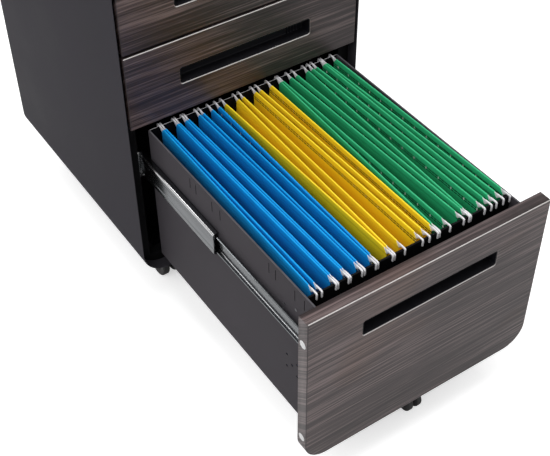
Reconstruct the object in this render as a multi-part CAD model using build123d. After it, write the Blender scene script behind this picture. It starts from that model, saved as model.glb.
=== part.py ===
"""Steel mobile pedestal: two box drawers over a file drawer, which stands open with its folders in it.

Millimetres, +Z up, the drawers open towards -Y. The origin is on the floor, at the middle of the
width and of the whole depth, open file drawer included. Local depths are counted from the cabinet's
front plane: 0 is the face of the closed drawer fronts, and they grow towards the back.
"""
import math
import os

from build123d import *

os.makedirs("parts", exist_ok=True)

# Cabinet body
body_width = 390.0
body_depth = 435.0
sheet = 1.0
sheet_fit = 0.1
running_fit = 0.05
cut_past = 1.0
frame_sheet = 1.2

# Drawer fronts
front_gap = 4.5
front_thickness = 19.0
front_corner_radius = 35.0
box_front_height = 117.5
file_front_height = 272.5

# Grip slots and their plastic pockets
slot_length = 215.0
slot_height = 26.0
slot_corner_radius = 4.0
slot_from_front_top = 45.75
pocket_wall = 1.5
pocket_rib_count = 5
pocket_rib = 1.2
pocket_rib_pitch = 5.0

# White caps in the left and right edges of the file front
cap_radius = 6.0
cap_height = 1.6
cap_depth = 9.6
upper_cap_from_top = 42.8
lower_cap_from_bottom = 47.2

# Frame behind the fronts
frame_face_depth = 20.0
frame_post_width = 20.0
frame_rail_height = 19.0
frame_return = 15.0
upright_width = 40.0
upright_sheet = 1.5
upright_end_inset = 44.0
cross_rail_height = 14.0
cross_rail_depth = 14.0
rear_panel_inset = 3.0
rear_panel_flange = 12.0

# Castors and the channels that carry them
castor_height = 67.5
castor_side_inset = 63.0
castor_end_inset = 75.5
castor_trail = 18.0
castor_wheel_radius = 25.0
castor_wheel_width = 12.0
castor_wheel_edge = 2.5
castor_web = 9.0
castor_hub_radius = 9.0
castor_side_gap = 0.6
castor_plate_side = 50.0
castor_plate_sheet = 2.0
castor_axle_radius = 3.0
kingpin_radius = 5.0
kingpin_length = 12.0
hood_gap = 1.4
hood_wall = 2.0
hood_start_angle = 12.0
hood_end_angle = 150.0
boss_radius = 12.0
swivel_gap = 0.3
base_channel_width = 64.0
base_channel_height = 16.0
base_channel_sheet = 1.5
castor_bolt_radius = 3.0
castor_bolt_pitch = 36.0
castor_bolt_end = 4.0

# Anti-tip wheel under the file front
fifth_wheel_x = 20.0
fifth_wheel_depth = 40.5
fifth_wheel_radius = 17.0
fifth_wheel_width = 9.0
fifth_wheel_edge = 2.0
fifth_web = 5.0
fifth_side_gap = 0.6
fifth_axle_radius = 2.5
fifth_axle_head = 1.0
fifth_axle_head_radius = 5.0
fifth_boss_radius = 7.0
fifth_plate_width = 28.0
fifth_plate_sheet = 2.0
fifth_plate_rise = 27.0
fifth_plate_drop = 4.0
fifth_arm_length = 38.5
notch_clearance = 2.0

# Drawer boxes
box_side_gap = 13.0
drawer_sheet = 1.0
box_rear_gap = 10.0
hem_width = 2.4
hem_height = 9.0
file_box_below_front = 9.5
file_box_floor_gap = 11.5
file_slide_below_box_top = 69.0
box_above_front_bottom = 14.0
box_height = 80.0
box_slide_above_bottom = 35.0

# Slits and holes in the sides of the file drawer, from the face of its front
slit_depths = (46.0, 66.0, 107.5, 122.4, 237.0, 257.0, 298.0, 313.0)
slit_width = 1.2
slit_height = 17.6
slit_below_top = 7.2
hole_cluster_depth = 71.4
hole_cluster_below_top = 152.7
hole_cluster_half = 11.5
hole_radius = 1.8

# Telescopic ball slides, as seen in their cross-section: t grows from the upright to the drawer side
travel_rear_gap = 15.0
slide_sheet = 1.4
outer_start = 22.0
outer_rear_gap = 5.0
outer_height = 45.6
outer_flange_end = 11.0
middle_start = 32.0
middle_rear_gap = 11.0
middle_web_at = 3.2
middle_flange_end = 12.2
inner_start = 21.0
inner_rear_gap = 14.0
inner_flange_end = 6.6
race_gap = 2.6
ball_radius = 1.15
ball_hole_radius = 1.35
balls_in_row = 5
cage_sheet = 0.8
cage_play = 4.0
outer_cage_web_at = 1.9
outer_cage_flange_end = 9.4
outer_ball_at = 7.4
inner_cage_web_at = 5.1
inner_cage_flange_end = 10.6
inner_ball_at = 9.2
slide_screw_radius = 2.0
slide_screw_head_radius = 4.0
slide_screw_length = 8.0

# Lock in the top front
lock_from_side = 49.5
lock_below_top = 30.0
lock_radius = 8.0
lock_flange_radius = 11.0
lock_flange = 1.5
lock_length = 36.0
lock_nut_radius = 11.0
lock_nut = 4.0
plug_radius = 5.5
key_slot_length = 7.0
key_slot_width = 1.4
key_slot_depth = 6.0
cam_length = 24.0
cam_width = 9.0
cam_sheet = 2.0

# Hanging rail and folders: the rods hook over the rail in front and over the drawer's back wall
rail_thickness = 3.0
rail_height = 26.0
front_rail_inset = 23.2
rod_thickness = 1.2
rod_height = 9.0
rod_above_rail = 0.3
hook_overhang = 7.0
hook_drop = 9.0
hook_arm = 3.0
hook_width = 2.4
rod_hem_gap = 9.0
folder_floor_gap = 4.3
folder_card = 0.8
folder_fold_width = 2.0
folder_fold_height = 3.0

# Where the folders hang, left to right: middle and opening at the front rail, then at the back wall,
# in a drawer of this half width inside. A wider drawer spreads them.
folder_row_half = 161.0
blue_folder_places = ((-144.5, 7.6, -143.1, 3.4), (-118.4, 2.8, -120.6, 3.2), (-99.8, 2.8, -106.3, 3.8),
                      (-79.0, 3.6, -83.1, 6.2), (-58.3, 3.2, -59.4, 12.0))
yellow_folder_places = ((-32.6, 3.0, -32.4, 21.0), (-0.9, 28.0, -2.7, 21.0), (30.7, 13.4, 25.7, 18.6))
green_folder_places = ((49.0, 17.0, 53.4, 3.2), (84.4, 9.2, 74.8, 10.6), (103.1, 23.2, 103.8, 8.8),
                       (130.5, 8.4, 122.4, 14.6), (152.2, 11.0, 141.5, 17.6))

# Screws that hold the drawer box to its front, and rivets in its side
front_screw_radius = 2.0
front_screw_head_radius = 4.0
front_screw_head = 1.8
front_screw_bite = 10.0
front_screw_side_inset = 30.0
front_screw_end_inset = 22.0
rivet_radius = 2.2
rivet_head = 0.5
rivet_places = ((63.0, 38.5), (89.0, 50.3))

# Heights and places that follow from the sizes above
drawer_travel = body_depth - travel_rear_gap
front_y = (drawer_travel - body_depth) / 2
body_bottom = castor_height
file_front_bottom = body_bottom + sheet + front_gap
file_front_top = file_front_bottom + file_front_height
middle_front_bottom = file_front_top + front_gap
middle_front_top = middle_front_bottom + box_front_height
top_front_bottom = middle_front_top + front_gap
top_front_top = top_front_bottom + box_front_height
body_top = top_front_top + front_gap + sheet
body_height = body_top - body_bottom
body_middle = (body_top + body_bottom) / 2
front_width = body_width - 2 * (sheet + front_gap)
shell_corner_radius = front_corner_radius + front_gap + sheet
post_face = body_width / 2 - frame_post_width
box_half = post_face - box_side_gap
box_start = front_thickness + drawer_sheet
box_end = body_depth - box_rear_gap
file_box_top = file_front_top - file_box_below_front
file_box_bottom = body_bottom + sheet + base_channel_height + file_box_floor_gap
file_slide_z = file_box_top - file_slide_below_box_top
middle_box_bottom = middle_front_bottom + box_above_front_bottom
middle_slide_z = middle_box_bottom + box_slide_above_bottom
top_box_bottom = top_front_bottom + box_above_front_bottom
top_slide_z = top_box_bottom + box_slide_above_bottom
front_rail_depth = box_start + front_rail_inset
rear_hook_depth = box_end - drawer_sheet + rail_thickness / 2
rail_span = rear_hook_depth - front_rail_depth
folder_spread = (box_half - drawer_sheet) / folder_row_half
lock_x = front_width / 2 - lock_from_side
castor_x = body_width / 2 - castor_side_inset
castor_depths = {"front": castor_end_inset, "rear": body_depth - castor_end_inset}
file_out = -drawer_travel


def write(node, *solids):
    """Write one node's file from its separate solids."""
    pieces = []
    for solid in solids:
        pieces.extend(solid.solids())
    shape = pieces[0] if len(pieces) == 1 else Compound(children=pieces)
    shape.label = node
    export_step(shape, f"parts/{node}.step")


def block(x_low, x_high, depth_low, depth_high, z_low, z_high):
    """A box between two corners, with its depths counted from the front plane."""
    size = (x_high - x_low, depth_high - depth_low, z_high - z_low)
    middle = ((x_high + x_low) / 2, front_y + (depth_high + depth_low) / 2, (z_high + z_low) / 2)
    return Pos(*middle) * Box(*size)


def along_depth(sketch, depth_low, depth_high):
    """Extrude a sketch drawn in X and Z between two depths."""
    plane = Plane(origin=(0, front_y + depth_high, 0), x_dir=(1, 0, 0), z_dir=(0, -1, 0))
    return extrude(plane * sketch, amount=depth_high - depth_low, dir=(0, -1, 0))


def along_x(sketch, x_low, x_high):
    """Extrude a sketch drawn in Y and Z between two places along X."""
    plane = Plane(origin=(x_low, 0, 0), x_dir=(0, 1, 0), z_dir=(1, 0, 0))
    return extrude(plane * sketch, amount=x_high - x_low, dir=(1, 0, 0))


def rod_x(x_low, x_high, y, z, radius):
    """A round bar along X."""
    return Pos((x_low + x_high) / 2, y, z) * Rot(0, 90, 0) * Cylinder(radius, x_high - x_low)


def rod_depth(x, depth_low, depth_high, z, radius):
    """A round bar along the depth."""
    middle = front_y + (depth_low + depth_high) / 2
    return Pos(x, middle, z) * Rot(90, 0, 0) * Cylinder(radius, depth_high - depth_low)


def both_sides(solid):
    """A solid and its mirror image on the other side of the cabinet."""
    return [solid, mirror(solid, Plane.YZ)]


def slide_along(solids, distance):
    """Move solids along Y, as a drawer runs."""
    return [Pos(0, distance, 0) * solid for solid in solids]


# Cabinet body

def shell():
    """The wrapped sheet: a tube with round corners, notched below for the anti-tip bracket."""
    outline = Pos(0, body_middle) * RectangleRounded(body_width, body_height, shell_corner_radius)
    inside = Pos(0, body_middle) * RectangleRounded(
        body_width - 2 * sheet, body_height - 2 * sheet, shell_corner_radius - sheet)
    tube = along_depth(outline - inside, 0, body_depth)
    half_notch = fifth_plate_width / 2 + notch_clearance
    tube -= block(fifth_wheel_x - half_notch, fifth_wheel_x + half_notch,
                  -cut_past, front_thickness + notch_clearance,
                  body_bottom - cut_past, body_bottom + sheet + cut_past)
    for hole in castor_bolts(body_bottom - cut_past, body_bottom + sheet + cut_past,
                             castor_bolt_radius + running_fit):
        tube -= hole
    return tube


def nested(width_inset):
    """The outline of a sheet that sits inside the shell, less an inset."""
    inset = sheet + sheet_fit + width_inset
    return Pos(0, body_middle) * RectangleRounded(
        body_width - 2 * inset, body_height - 2 * inset, shell_corner_radius - inset)


def rear_panel():
    """A pan pressed into the back of the shell, with a flange all round."""
    face = body_depth - rear_panel_inset
    panel = along_depth(nested(0), face - sheet, face)
    panel += along_depth(nested(0) - nested(sheet), face - rear_panel_flange, face)
    return panel


def frame_opening(grow):
    """The opening in the frame behind the fronts, grown by a wall."""
    return Pos(0, body_middle) * Rectangle(
        2 * (post_face + grow), body_height - 2 * (frame_rail_height - grow))


def front_frame():
    """The frame that the fronts close against, folded back round its opening."""
    face = along_depth(nested(0) - frame_opening(0), frame_face_depth, frame_face_depth + frame_sheet)
    fold = along_depth(frame_opening(frame_sheet) - frame_opening(0),
                       frame_face_depth, frame_face_depth + frame_return)
    return face + fold


def upright_depths():
    """Start of the front and of the rear upright."""
    front_start = frame_face_depth + frame_return + sheet_fit
    rear_start = body_depth - rear_panel_inset - rear_panel_flange - upright_width - sheet_fit
    return front_start, rear_start


def slide_screw_depths():
    """The two screws that hold a slide's outer member, one in each upright."""
    return [start + upright_width / 2 for start in upright_depths()]


def slide_levels():
    """Heights of the three pairs of slides."""
    return (file_slide_z, middle_slide_z, top_slide_z)


def slide_uprights():
    """Four folded channels that carry the slides."""
    low = body_bottom + upright_end_inset
    high = body_top - upright_end_inset
    wall = body_width / 2 - sheet - sheet_fit
    solids = []
    for start in upright_depths():
        channel = block(post_face, wall, start, start + upright_width, low, high)
        channel -= block(post_face + upright_sheet, wall + cut_past, start + upright_sheet,
                         start + upright_width - upright_sheet, low - cut_past, high + cut_past)
        for level in slide_levels():
            middle = front_y + start + upright_width / 2
            channel -= rod_x(post_face - cut_past, post_face + upright_sheet + cut_past, middle, level,
                             slide_screw_radius + running_fit)
        solids.extend(both_sides(channel))
    return solids


def cross_rails():
    """Two rails behind the gaps between the fronts."""
    solids = []
    for gap_bottom in (file_front_top, middle_front_top):
        middle = gap_bottom + front_gap / 2
        low = middle - cross_rail_height / 2
        high = middle + cross_rail_height / 2
        end = frame_face_depth + cross_rail_depth
        rail = block(-post_face, post_face, frame_face_depth, end, low, high)
        rail -= block(-post_face - cut_past, post_face + cut_past, frame_face_depth + frame_sheet,
                      end + cut_past, low + frame_sheet, high - frame_sheet)
        solids.append(rail)
    return solids


def castor_bolts(z_low, z_high, radius):
    """Four round bars at each castor, for its bolts or their holes."""
    bars = []
    for side in (-1, 1):
        for depth in castor_depths.values():
            for dx in (-1, 1):
                for dy in (-1, 1):
                    x = side * castor_x + dx * castor_bolt_pitch / 2
                    y = front_y + depth + dy * castor_bolt_pitch / 2
                    bars.append(Pos(x, y, (z_low + z_high) / 2) * Cylinder(radius, z_high - z_low))
    return bars


def base_channels():
    """Two channels across the floor of the body, over the castors."""
    half = body_width / 2 - shell_corner_radius
    floor = body_bottom + sheet
    top = floor + base_channel_height
    holes = castor_bolts(floor - cut_past, floor + base_channel_sheet + cut_past,
                         castor_bolt_radius + running_fit)
    solids = []
    for depth in castor_depths.values():
        low = depth - base_channel_width / 2
        high = depth + base_channel_width / 2
        channel = block(-half, half, low, high, floor, top)
        channel -= block(-half - cut_past, half + cut_past, low + base_channel_sheet,
                         high - base_channel_sheet, floor + base_channel_sheet, top + cut_past)
        for hole in holes:
            channel -= hole
        solids.append(channel)
    return solids


def slide_screw(depth, level):
    """A countersunk screw, flush in the slide's outer member."""
    y = front_y + depth
    head_end = post_face - slide_sheet + sheet_fit
    shank = rod_x(post_face, post_face + slide_screw_length, y, level, slide_screw_radius)
    head = rod_x(head_end, post_face, y, level, slide_screw_head_radius)
    return shank + head


def cabinet_screws():
    """The slide screws and the castor bolts."""
    solids = []
    for level in slide_levels():
        for depth in slide_screw_depths():
            solids.extend(both_sides(slide_screw(depth, level)))
    plate_bottom = body_bottom - castor_plate_sheet
    nut_base = body_bottom + sheet + base_channel_sheet
    solids.extend(castor_bolts(plate_bottom, nut_base + castor_bolt_end, castor_bolt_radius))
    return solids


# Castors

def castor_origin(side, depth):
    """Swivel axis of a castor on the floor."""
    return Pos(side * castor_x, front_y + depth, 0)


def castor_plate():
    """Top plate with its kingpin, at a swivel axis at the origin."""
    plate_top = body_bottom
    plate_bottom = plate_top - castor_plate_sheet
    plate = Pos(0, 0, (plate_top + plate_bottom) / 2) * Box(
        castor_plate_side, castor_plate_side, castor_plate_sheet)
    for dx in (-1, 1):
        for dy in (-1, 1):
            place = Pos(dx * castor_bolt_pitch / 2, dy * castor_bolt_pitch / 2, plate_bottom)
            plate -= place * Cylinder(castor_bolt_radius + running_fit, 3 * castor_plate_sheet)
    pin = Pos(0, 0, plate_bottom - kingpin_length / 2) * Cylinder(kingpin_radius, kingpin_length)
    return plate + pin


def castor_half_width():
    """Half the width over both wheels."""
    return castor_web / 2 + castor_side_gap + castor_wheel_width


def castor_hood():
    """The swivelling housing: a web between the wheels, a hood over them and a boss for the kingpin."""
    y = -castor_trail
    z = castor_wheel_radius
    inner = castor_wheel_radius + hood_gap
    outer = inner + hood_wall
    half = castor_half_width()
    reach = 2 * outer
    start = math.radians(hood_start_angle)
    end = math.radians(hood_end_angle)
    middle = (start + end) / 2
    sector = Polygon((0, 0), (reach * math.cos(start), reach * math.sin(start)),
                     (reach * 2 * math.cos(middle), reach * 2 * math.sin(middle)),
                     (reach * math.cos(end), reach * math.sin(end)), align=None)
    band = Pos(y, z) * ((Circle(outer) - Circle(inner)) & sector)
    hood = along_x(band, -half, half)
    web_shape = Pos(y, z) * (Circle(outer) & sector) + Pos(y, z) * Circle(castor_hub_radius)
    hood += along_x(web_shape, -castor_web / 2, castor_web / 2)
    boss_top = body_bottom - castor_plate_sheet - swivel_gap
    boss_bottom = z + castor_hub_radius
    boss = Pos(0, 0, (boss_top + boss_bottom) / 2) * Cylinder(boss_radius, boss_top - boss_bottom)
    for side in (-1, 1):
        wheel_space = rod_x(castor_web / 2, half + boss_radius, y, z, inner)
        boss -= wheel_space if side > 0 else mirror(wheel_space, Plane.YZ)
    hood += boss
    hood -= rod_x(-castor_web, castor_web, y, z, castor_axle_radius + running_fit)
    pin_space = kingpin_length + swivel_gap
    hood -= Pos(0, 0, boss_top - pin_space / 2) * Cylinder(kingpin_radius + running_fit, pin_space)
    return hood


def wheel(radius, width, edge, bore):
    """A wheel about X with its inner face at x = 0, rounded at its tread's edges."""
    disc = Rot(0, 90, 0) * Pos(0, 0, width / 2) * Cylinder(radius, width)
    disc = fillet(disc.edges().filter_by(GeomType.CIRCLE), edge)
    return disc - Rot(0, 90, 0) * Pos(0, 0, width / 2) * Cylinder(bore, 2 * width)


def castor_wheels():
    """Two wheels on their axle."""
    y = -castor_trail
    z = castor_wheel_radius
    right = Pos(castor_web / 2 + castor_side_gap, y, z) * wheel(
        castor_wheel_radius, castor_wheel_width, castor_wheel_edge, castor_axle_radius)
    half = castor_half_width()
    axle = rod_x(-half, half, y, z, castor_axle_radius)
    return both_sides(right) + [axle]


# Anti-tip wheel

def fifth_wheel_axis():
    """Y and Z of the anti-tip wheel's axle, with the drawer shut."""
    return front_y + fifth_wheel_depth, fifth_wheel_radius


def fifth_wheel_bracket():
    """An angle let into the back of the front, with a web down to the axle."""
    y, z = fifth_wheel_axis()
    half = fifth_plate_width / 2
    plate_front = front_thickness - fifth_plate_sheet
    arm_top = body_bottom - fifth_plate_drop
    arm_bottom = arm_top - fifth_plate_sheet
    plate_top = file_front_bottom + fifth_plate_rise
    bracket = block(fifth_wheel_x - half, fifth_wheel_x + half, plate_front, front_thickness,
                    arm_bottom, plate_top)
    bracket += block(fifth_wheel_x - half, fifth_wheel_x + half, plate_front,
                     plate_front + fifth_arm_length, arm_bottom, arm_top)
    web_front = front_y + plate_front
    web_rear = web_front + fifth_arm_length
    web = Polygon((web_front, arm_bottom), (web_rear, arm_bottom),
                  (y + fifth_boss_radius, z), (y - fifth_boss_radius, z), align=None)
    web += Pos(y, z) * Circle(fifth_boss_radius)
    bracket += along_x(web, fifth_wheel_x - fifth_web / 2, fifth_wheel_x + fifth_web / 2)
    bracket -= rod_x(fifth_wheel_x - half, fifth_wheel_x + half, y, z, fifth_axle_radius)
    return bracket


def fifth_wheels():
    """Two small rollers, one on each side of the bracket's web."""
    y, z = fifth_wheel_axis()
    roller = wheel(fifth_wheel_radius, fifth_wheel_width, fifth_wheel_edge,
                   fifth_axle_radius + running_fit)
    pair = both_sides(Pos(fifth_web / 2 + fifth_side_gap, 0, 0) * roller)
    return [Pos(fifth_wheel_x, y, z) * solid for solid in pair]


def fifth_wheel_axle():
    """The pin through the web that both rollers turn on, with a head at each end."""
    y, z = fifth_wheel_axis()
    half = fifth_web / 2 + 2 * fifth_side_gap + fifth_wheel_width
    head = fifth_axle_head
    pin = rod_x(fifth_wheel_x - half - head, fifth_wheel_x + half + head, y, z, fifth_axle_radius)
    for x in (fifth_wheel_x - half - head, fifth_wheel_x + half):
        pin += rod_x(x, x + head, y, z, fifth_axle_head_radius)
    return pin


# Drawer fronts

def front_outline(bottom, top, round_bottom, round_top):
    """A front's outline; the lowest and highest fronts follow the round corners of the body."""
    height = top - bottom
    middle = (top + bottom) / 2
    outline = Pos(0, middle) * Rectangle(front_width, height)
    corners = []
    if round_bottom:
        corners.extend(outline.vertices().sort_by(Axis.Y)[:2])
    if round_top:
        corners.extend(outline.vertices().sort_by(Axis.Y)[-2:])
    if corners:
        outline = fillet(corners, front_corner_radius)
    return outline


def slot_sketch(top, inset):
    """A grip slot's outline, less an inset."""
    middle = top - slot_from_front_top - slot_height / 2
    return Pos(0, middle) * RectangleRounded(
        slot_length - 2 * inset, slot_height - 2 * inset, slot_corner_radius - inset)


def front_board(bottom, top, round_bottom=False, round_top=False):
    """A board with its grip slot cut through."""
    outline = front_outline(bottom, top, round_bottom, round_top) - slot_sketch(top, 0)
    return along_depth(outline, 0, front_thickness)


def grip_pocket(top):
    """The plastic cup in a grip slot, with ribs across its right end."""
    back = front_thickness - pocket_wall
    cup = along_depth(slot_sketch(top, sheet_fit), 0, front_thickness)
    cup -= along_depth(slot_sketch(top, pocket_wall), -cut_past, back)
    middle = top - slot_from_front_top - slot_height / 2
    rib_half = slot_height / 2 - pocket_wall
    first = slot_length / 2 - slot_corner_radius - pocket_rib_pitch
    for index in range(pocket_rib_count):
        x = first - index * pocket_rib_pitch
        cup += block(x - pocket_rib / 2, x + pocket_rib / 2, back - pocket_rib, back,
                     middle - rib_half, middle + rib_half)
    return cup


def cap_places():
    """Heights of the white caps in the edges of the file front."""
    return (file_front_top - upper_cap_from_top, file_front_bottom + lower_cap_from_bottom)


def cap_bars(radius):
    """Round bars that end flush with the edges of the file front, where the caps sit."""
    edge = front_width / 2
    y = front_y + cap_depth
    bars = []
    for z in cap_places():
        bars.extend(both_sides(rod_x(edge - cap_height, edge, y, z, radius)))
    return bars


def file_front():
    """The file drawer's board, with room for the caps and for the anti-tip bracket."""
    board = front_board(file_front_bottom, file_front_top, round_bottom=True)
    for bar in cap_bars(cap_radius + running_fit) + front_screw_shanks(front_screw_radius + running_fit):
        board -= bar
    half = fifth_plate_width / 2 + sheet_fit
    board -= block(fifth_wheel_x - half, fifth_wheel_x + half,
                   front_thickness - fifth_plate_sheet, front_thickness + cut_past,
                   file_front_bottom - cut_past, file_front_bottom + fifth_plate_rise + sheet_fit)
    return board


# Drawer boxes

def tray(bottom, top):
    """Floor and two hemmed sides, folded from one sheet."""
    outline = Pos(0, (bottom + top) / 2) * Rectangle(2 * box_half, top - bottom)
    inside_half = box_half - drawer_sheet
    floor = bottom + drawer_sheet
    outline -= Pos(0, (floor + top + cut_past) / 2) * Rectangle(
        2 * inside_half, top + cut_past - floor)
    for side in (-1, 1):
        outline += Pos(side * (box_half - hem_width / 2), top - hem_height / 2) * Rectangle(
            hem_width, hem_height)
    return along_depth(outline, box_start, box_end)


def end_wall(bottom, top, depth_low):
    """A flat wall across a drawer box, inside its sides."""
    half = box_half - hem_width
    wall = block(-half, half, depth_low, depth_low + drawer_sheet, bottom + drawer_sheet, top)
    inside = box_half - drawer_sheet
    return wall + block(-inside, inside, depth_low, depth_low + drawer_sheet,
                        bottom + drawer_sheet, top - hem_height)


def inner_front(bottom, top):
    """The steel wall that the drawer front is screwed to."""
    return block(-box_half, box_half, front_thickness, box_start, bottom, top)


def file_tray():
    """The file drawer's floor and sides, slit and drilled."""
    body = tray(file_box_bottom, file_box_top)
    reach = box_half + cut_past
    slit_high = file_box_top - slit_below_top
    slit_low = slit_high - slit_height
    for depth in slit_depths:
        body -= block(-reach, reach, depth - slit_width / 2, depth + slit_width / 2, slit_low, slit_high)
    level = file_box_top - hole_cluster_below_top
    spots = [(0, 0)] + [(dy, dz) for dy in (-1, 1) for dz in (-1, 1)]
    for dy, dz in spots:
        y = front_y + hole_cluster_depth + dy * hole_cluster_half
        body -= rod_x(-reach, reach, y, level + dz * hole_cluster_half, hole_radius)
    return body


def hanging_rail():
    """A flat bar on edge across the file drawer, level with its rim, for the folders' front hooks."""
    half = box_half - hem_width
    return block(-half, half, front_rail_depth - rail_thickness / 2,
                 front_rail_depth + rail_thickness / 2, file_box_top - rail_height, file_box_top)


def front_screw_shanks(radius):
    """Round bars where screws pass through the inner front into the board."""
    x = box_half - front_screw_side_inset
    bars = []
    for z in (file_box_bottom + front_screw_end_inset, file_box_top - front_screw_end_inset):
        bars.extend(both_sides(
            rod_depth(x, front_thickness - front_screw_bite, box_start, z, radius)))
    return bars


def file_drawer_screws():
    """Screws through the inner front into the board, and rivets in the sides."""
    solids = []
    for shank in front_screw_shanks(front_screw_radius):
        middle = shank.center()
        head = rod_depth(middle.X, box_start, box_start + front_screw_head, middle.Z,
                         front_screw_head_radius)
        solids.append(shank + head)
    for depth, below in rivet_places:
        y = front_y + depth
        head = rod_x(box_half, box_half + rivet_head, y, file_box_top - below, rivet_radius)
        solids.extend(both_sides(head))
    return solids


# Telescopic slides

def channel(start, length, web_at, flange_end, height):
    """A C-shaped member between two places across the slide, its web at web_at."""
    thick = slide_sheet if web_at < flange_end else -slide_sheet
    low = min(web_at, flange_end)
    high = max(web_at, flange_end)
    opening_low = web_at + thick if thick > 0 else low - cut_past
    opening_high = high + cut_past if thick > 0 else web_at + thick
    half = height / 2
    solid = block(post_face - high, post_face - low, start, start + length, -half, half)
    solid -= block(post_face - opening_high, post_face - opening_low, start - cut_past,
                   start + length + cut_past, -half + slide_sheet, half - slide_sheet)
    return solid


def middle_height():
    """Height of the middle member, which leaves room for the balls inside the outer one."""
    return outer_height - 2 * slide_sheet - 2 * race_gap


def inner_height():
    """Height of the inner member, which leaves room for the balls inside the middle one."""
    return middle_height() - 2 * slide_sheet - 2 * race_gap


def outer_member():
    """The member screwed to the uprights, drilled for flush screws."""
    length = body_depth - outer_rear_gap - outer_start
    solid = channel(outer_start, length, 0, outer_flange_end, outer_height)
    for depth in slide_screw_depths():
        solid -= rod_x(post_face - slide_sheet - cut_past, post_face + cut_past, front_y + depth, 0,
                       slide_screw_head_radius + running_fit)
    return solid


def middle_member():
    """The member that runs between the other two."""
    length = body_depth - middle_rear_gap - middle_start
    return channel(middle_start, length, middle_web_at, middle_flange_end, middle_height())


def inner_member():
    """The member fixed to the drawer's side."""
    length = body_depth - inner_rear_gap - inner_start
    return channel(inner_start, length, box_side_gap, inner_flange_end, inner_height())


def ball_cage(start, length, web_at, flange_end, ball_at, ball_level):
    """A C-shaped strip with its balls in two rows, returned as separate solids."""
    half = ball_level + cage_sheet / 2
    cage = block(post_face - flange_end, post_face - web_at, start, start + length, -half, half)
    inside = half - cage_sheet
    cage -= block(post_face - flange_end - cut_past, post_face - web_at - cage_sheet,
                  start - cut_past, start + length + cut_past, -inside, inside)
    balls = []
    pitch = length / balls_in_row
    for row in (-1, 1):
        for index in range(balls_in_row):
            y = front_y + start + pitch * (index + 0.5)
            place = Pos(post_face - ball_at, y, row * ball_level)
            cage -= place * Cylinder(ball_hole_radius, 3 * cage_sheet)
            balls.append(place * Sphere(ball_radius))
    return [cage] + balls


def outer_cage():
    """Balls between the outer and middle members, placed for a shut drawer."""
    shared = body_depth - middle_rear_gap - drawer_travel / 2 - outer_start
    start = outer_start + cage_play / 2 + drawer_travel / 4
    level = middle_height() / 2 + race_gap / 2
    return ball_cage(start, shared - cage_play, outer_cage_web_at, outer_cage_flange_end,
                     outer_ball_at, level)


def inner_cage():
    """Balls between the middle and inner members, placed for a shut drawer."""
    open_middle_start = middle_start - drawer_travel / 2
    open_inner_end = body_depth - inner_rear_gap - drawer_travel
    length = open_inner_end - open_middle_start - cage_play
    start = open_middle_start + cage_play / 2 + drawer_travel * 3 / 4
    level = inner_height() / 2 + race_gap / 2
    return ball_cage(start, length, inner_cage_web_at, inner_cage_flange_end, inner_ball_at, level)


def write_slides(drawer, level, out):
    """Write the pair of slides of one drawer, drawn out by a share of its travel."""
    stages = {"outers": ([outer_member()], 0.0), "outer_cages": (outer_cage(), 0.25),
              "middles": ([middle_member()], 0.5), "inner_cages": (inner_cage(), 0.75),
              "inners": ([inner_member()], 1.0)}
    for stage, (solids, share) in stages.items():
        placed = []
        for solid in solids:
            placed.extend(both_sides(Pos(0, out * share, level) * solid))
        write(f"{drawer}_slide_{stage}", *placed)


# Lock

def lock_z():
    """Height of the lock."""
    return top_front_top - lock_below_top


def lock_barrel():
    """The barrel through the top front, with its flange and nut."""
    z = lock_z()
    nut_at = box_start
    barrel = rod_depth(lock_x, -lock_flange, lock_length, z, lock_radius)
    barrel += rod_depth(lock_x, -lock_flange, 0, z, lock_flange_radius)
    barrel += rod_depth(lock_x, nut_at, nut_at + lock_nut, z, lock_nut_radius)
    return barrel - rod_depth(lock_x, -lock_flange - cut_past, lock_length + cut_past, z,
                              plug_radius + running_fit)


def lock_plug():
    """The plug that the key turns."""
    z = lock_z()
    plug = rod_depth(lock_x, -lock_flange, lock_length + swivel_gap, z, plug_radius)
    return plug - block(lock_x - key_slot_width / 2, lock_x + key_slot_width / 2,
                        -lock_flange - cut_past, key_slot_depth,
                        z - key_slot_length / 2, z + key_slot_length / 2)


def lock_cam():
    """The tongue on the plug's inner end: a quarter turn lifts it behind the frame's top rail."""
    z = lock_z()
    start = lock_length + swivel_gap
    half = cam_width / 2
    tongue = block(lock_x - cam_length + half, lock_x, start, start + cam_sheet, z - half, z + half)
    return tongue + rod_depth(lock_x, start, start + cam_sheet, z, half)


# Folders

def rod_top():
    """Upper edge of the folders' rods."""
    return file_box_top + rod_above_rail + hook_arm


def rod_bottom():
    """Lower edge of the rods between their hooks, where the card hangs."""
    return rod_top() - rod_height


def folder_ends():
    """Depths of the card's front and rear edges."""
    front = front_rail_depth + rod_hem_gap
    return front, front_rail_depth + rail_span - rod_hem_gap


def rod_profile():
    """A rod seen from the side, with a hook over the rail and one over the back wall."""
    top = rod_top()
    bottom = rod_bottom()
    arm = top - hook_arm
    front_rail = front_y + front_rail_depth
    rear_hook = front_rail + rail_span
    clear = rail_thickness / 2 + rod_above_rail
    tip = arm - hook_drop
    return Polygon(
        (front_rail - clear - hook_width, top), (rear_hook + clear + hook_width, top),
        (rear_hook + clear + hook_width, tip), (rear_hook + clear, tip), (rear_hook + clear, arm),
        (rear_hook - clear, arm), (rear_hook - hook_overhang, bottom),
        (front_rail + hook_overhang, bottom), (front_rail + clear, arm),
        (front_rail - clear, arm), (front_rail - clear, tip),
        (front_rail - clear - hook_width, tip), align=None)


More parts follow.
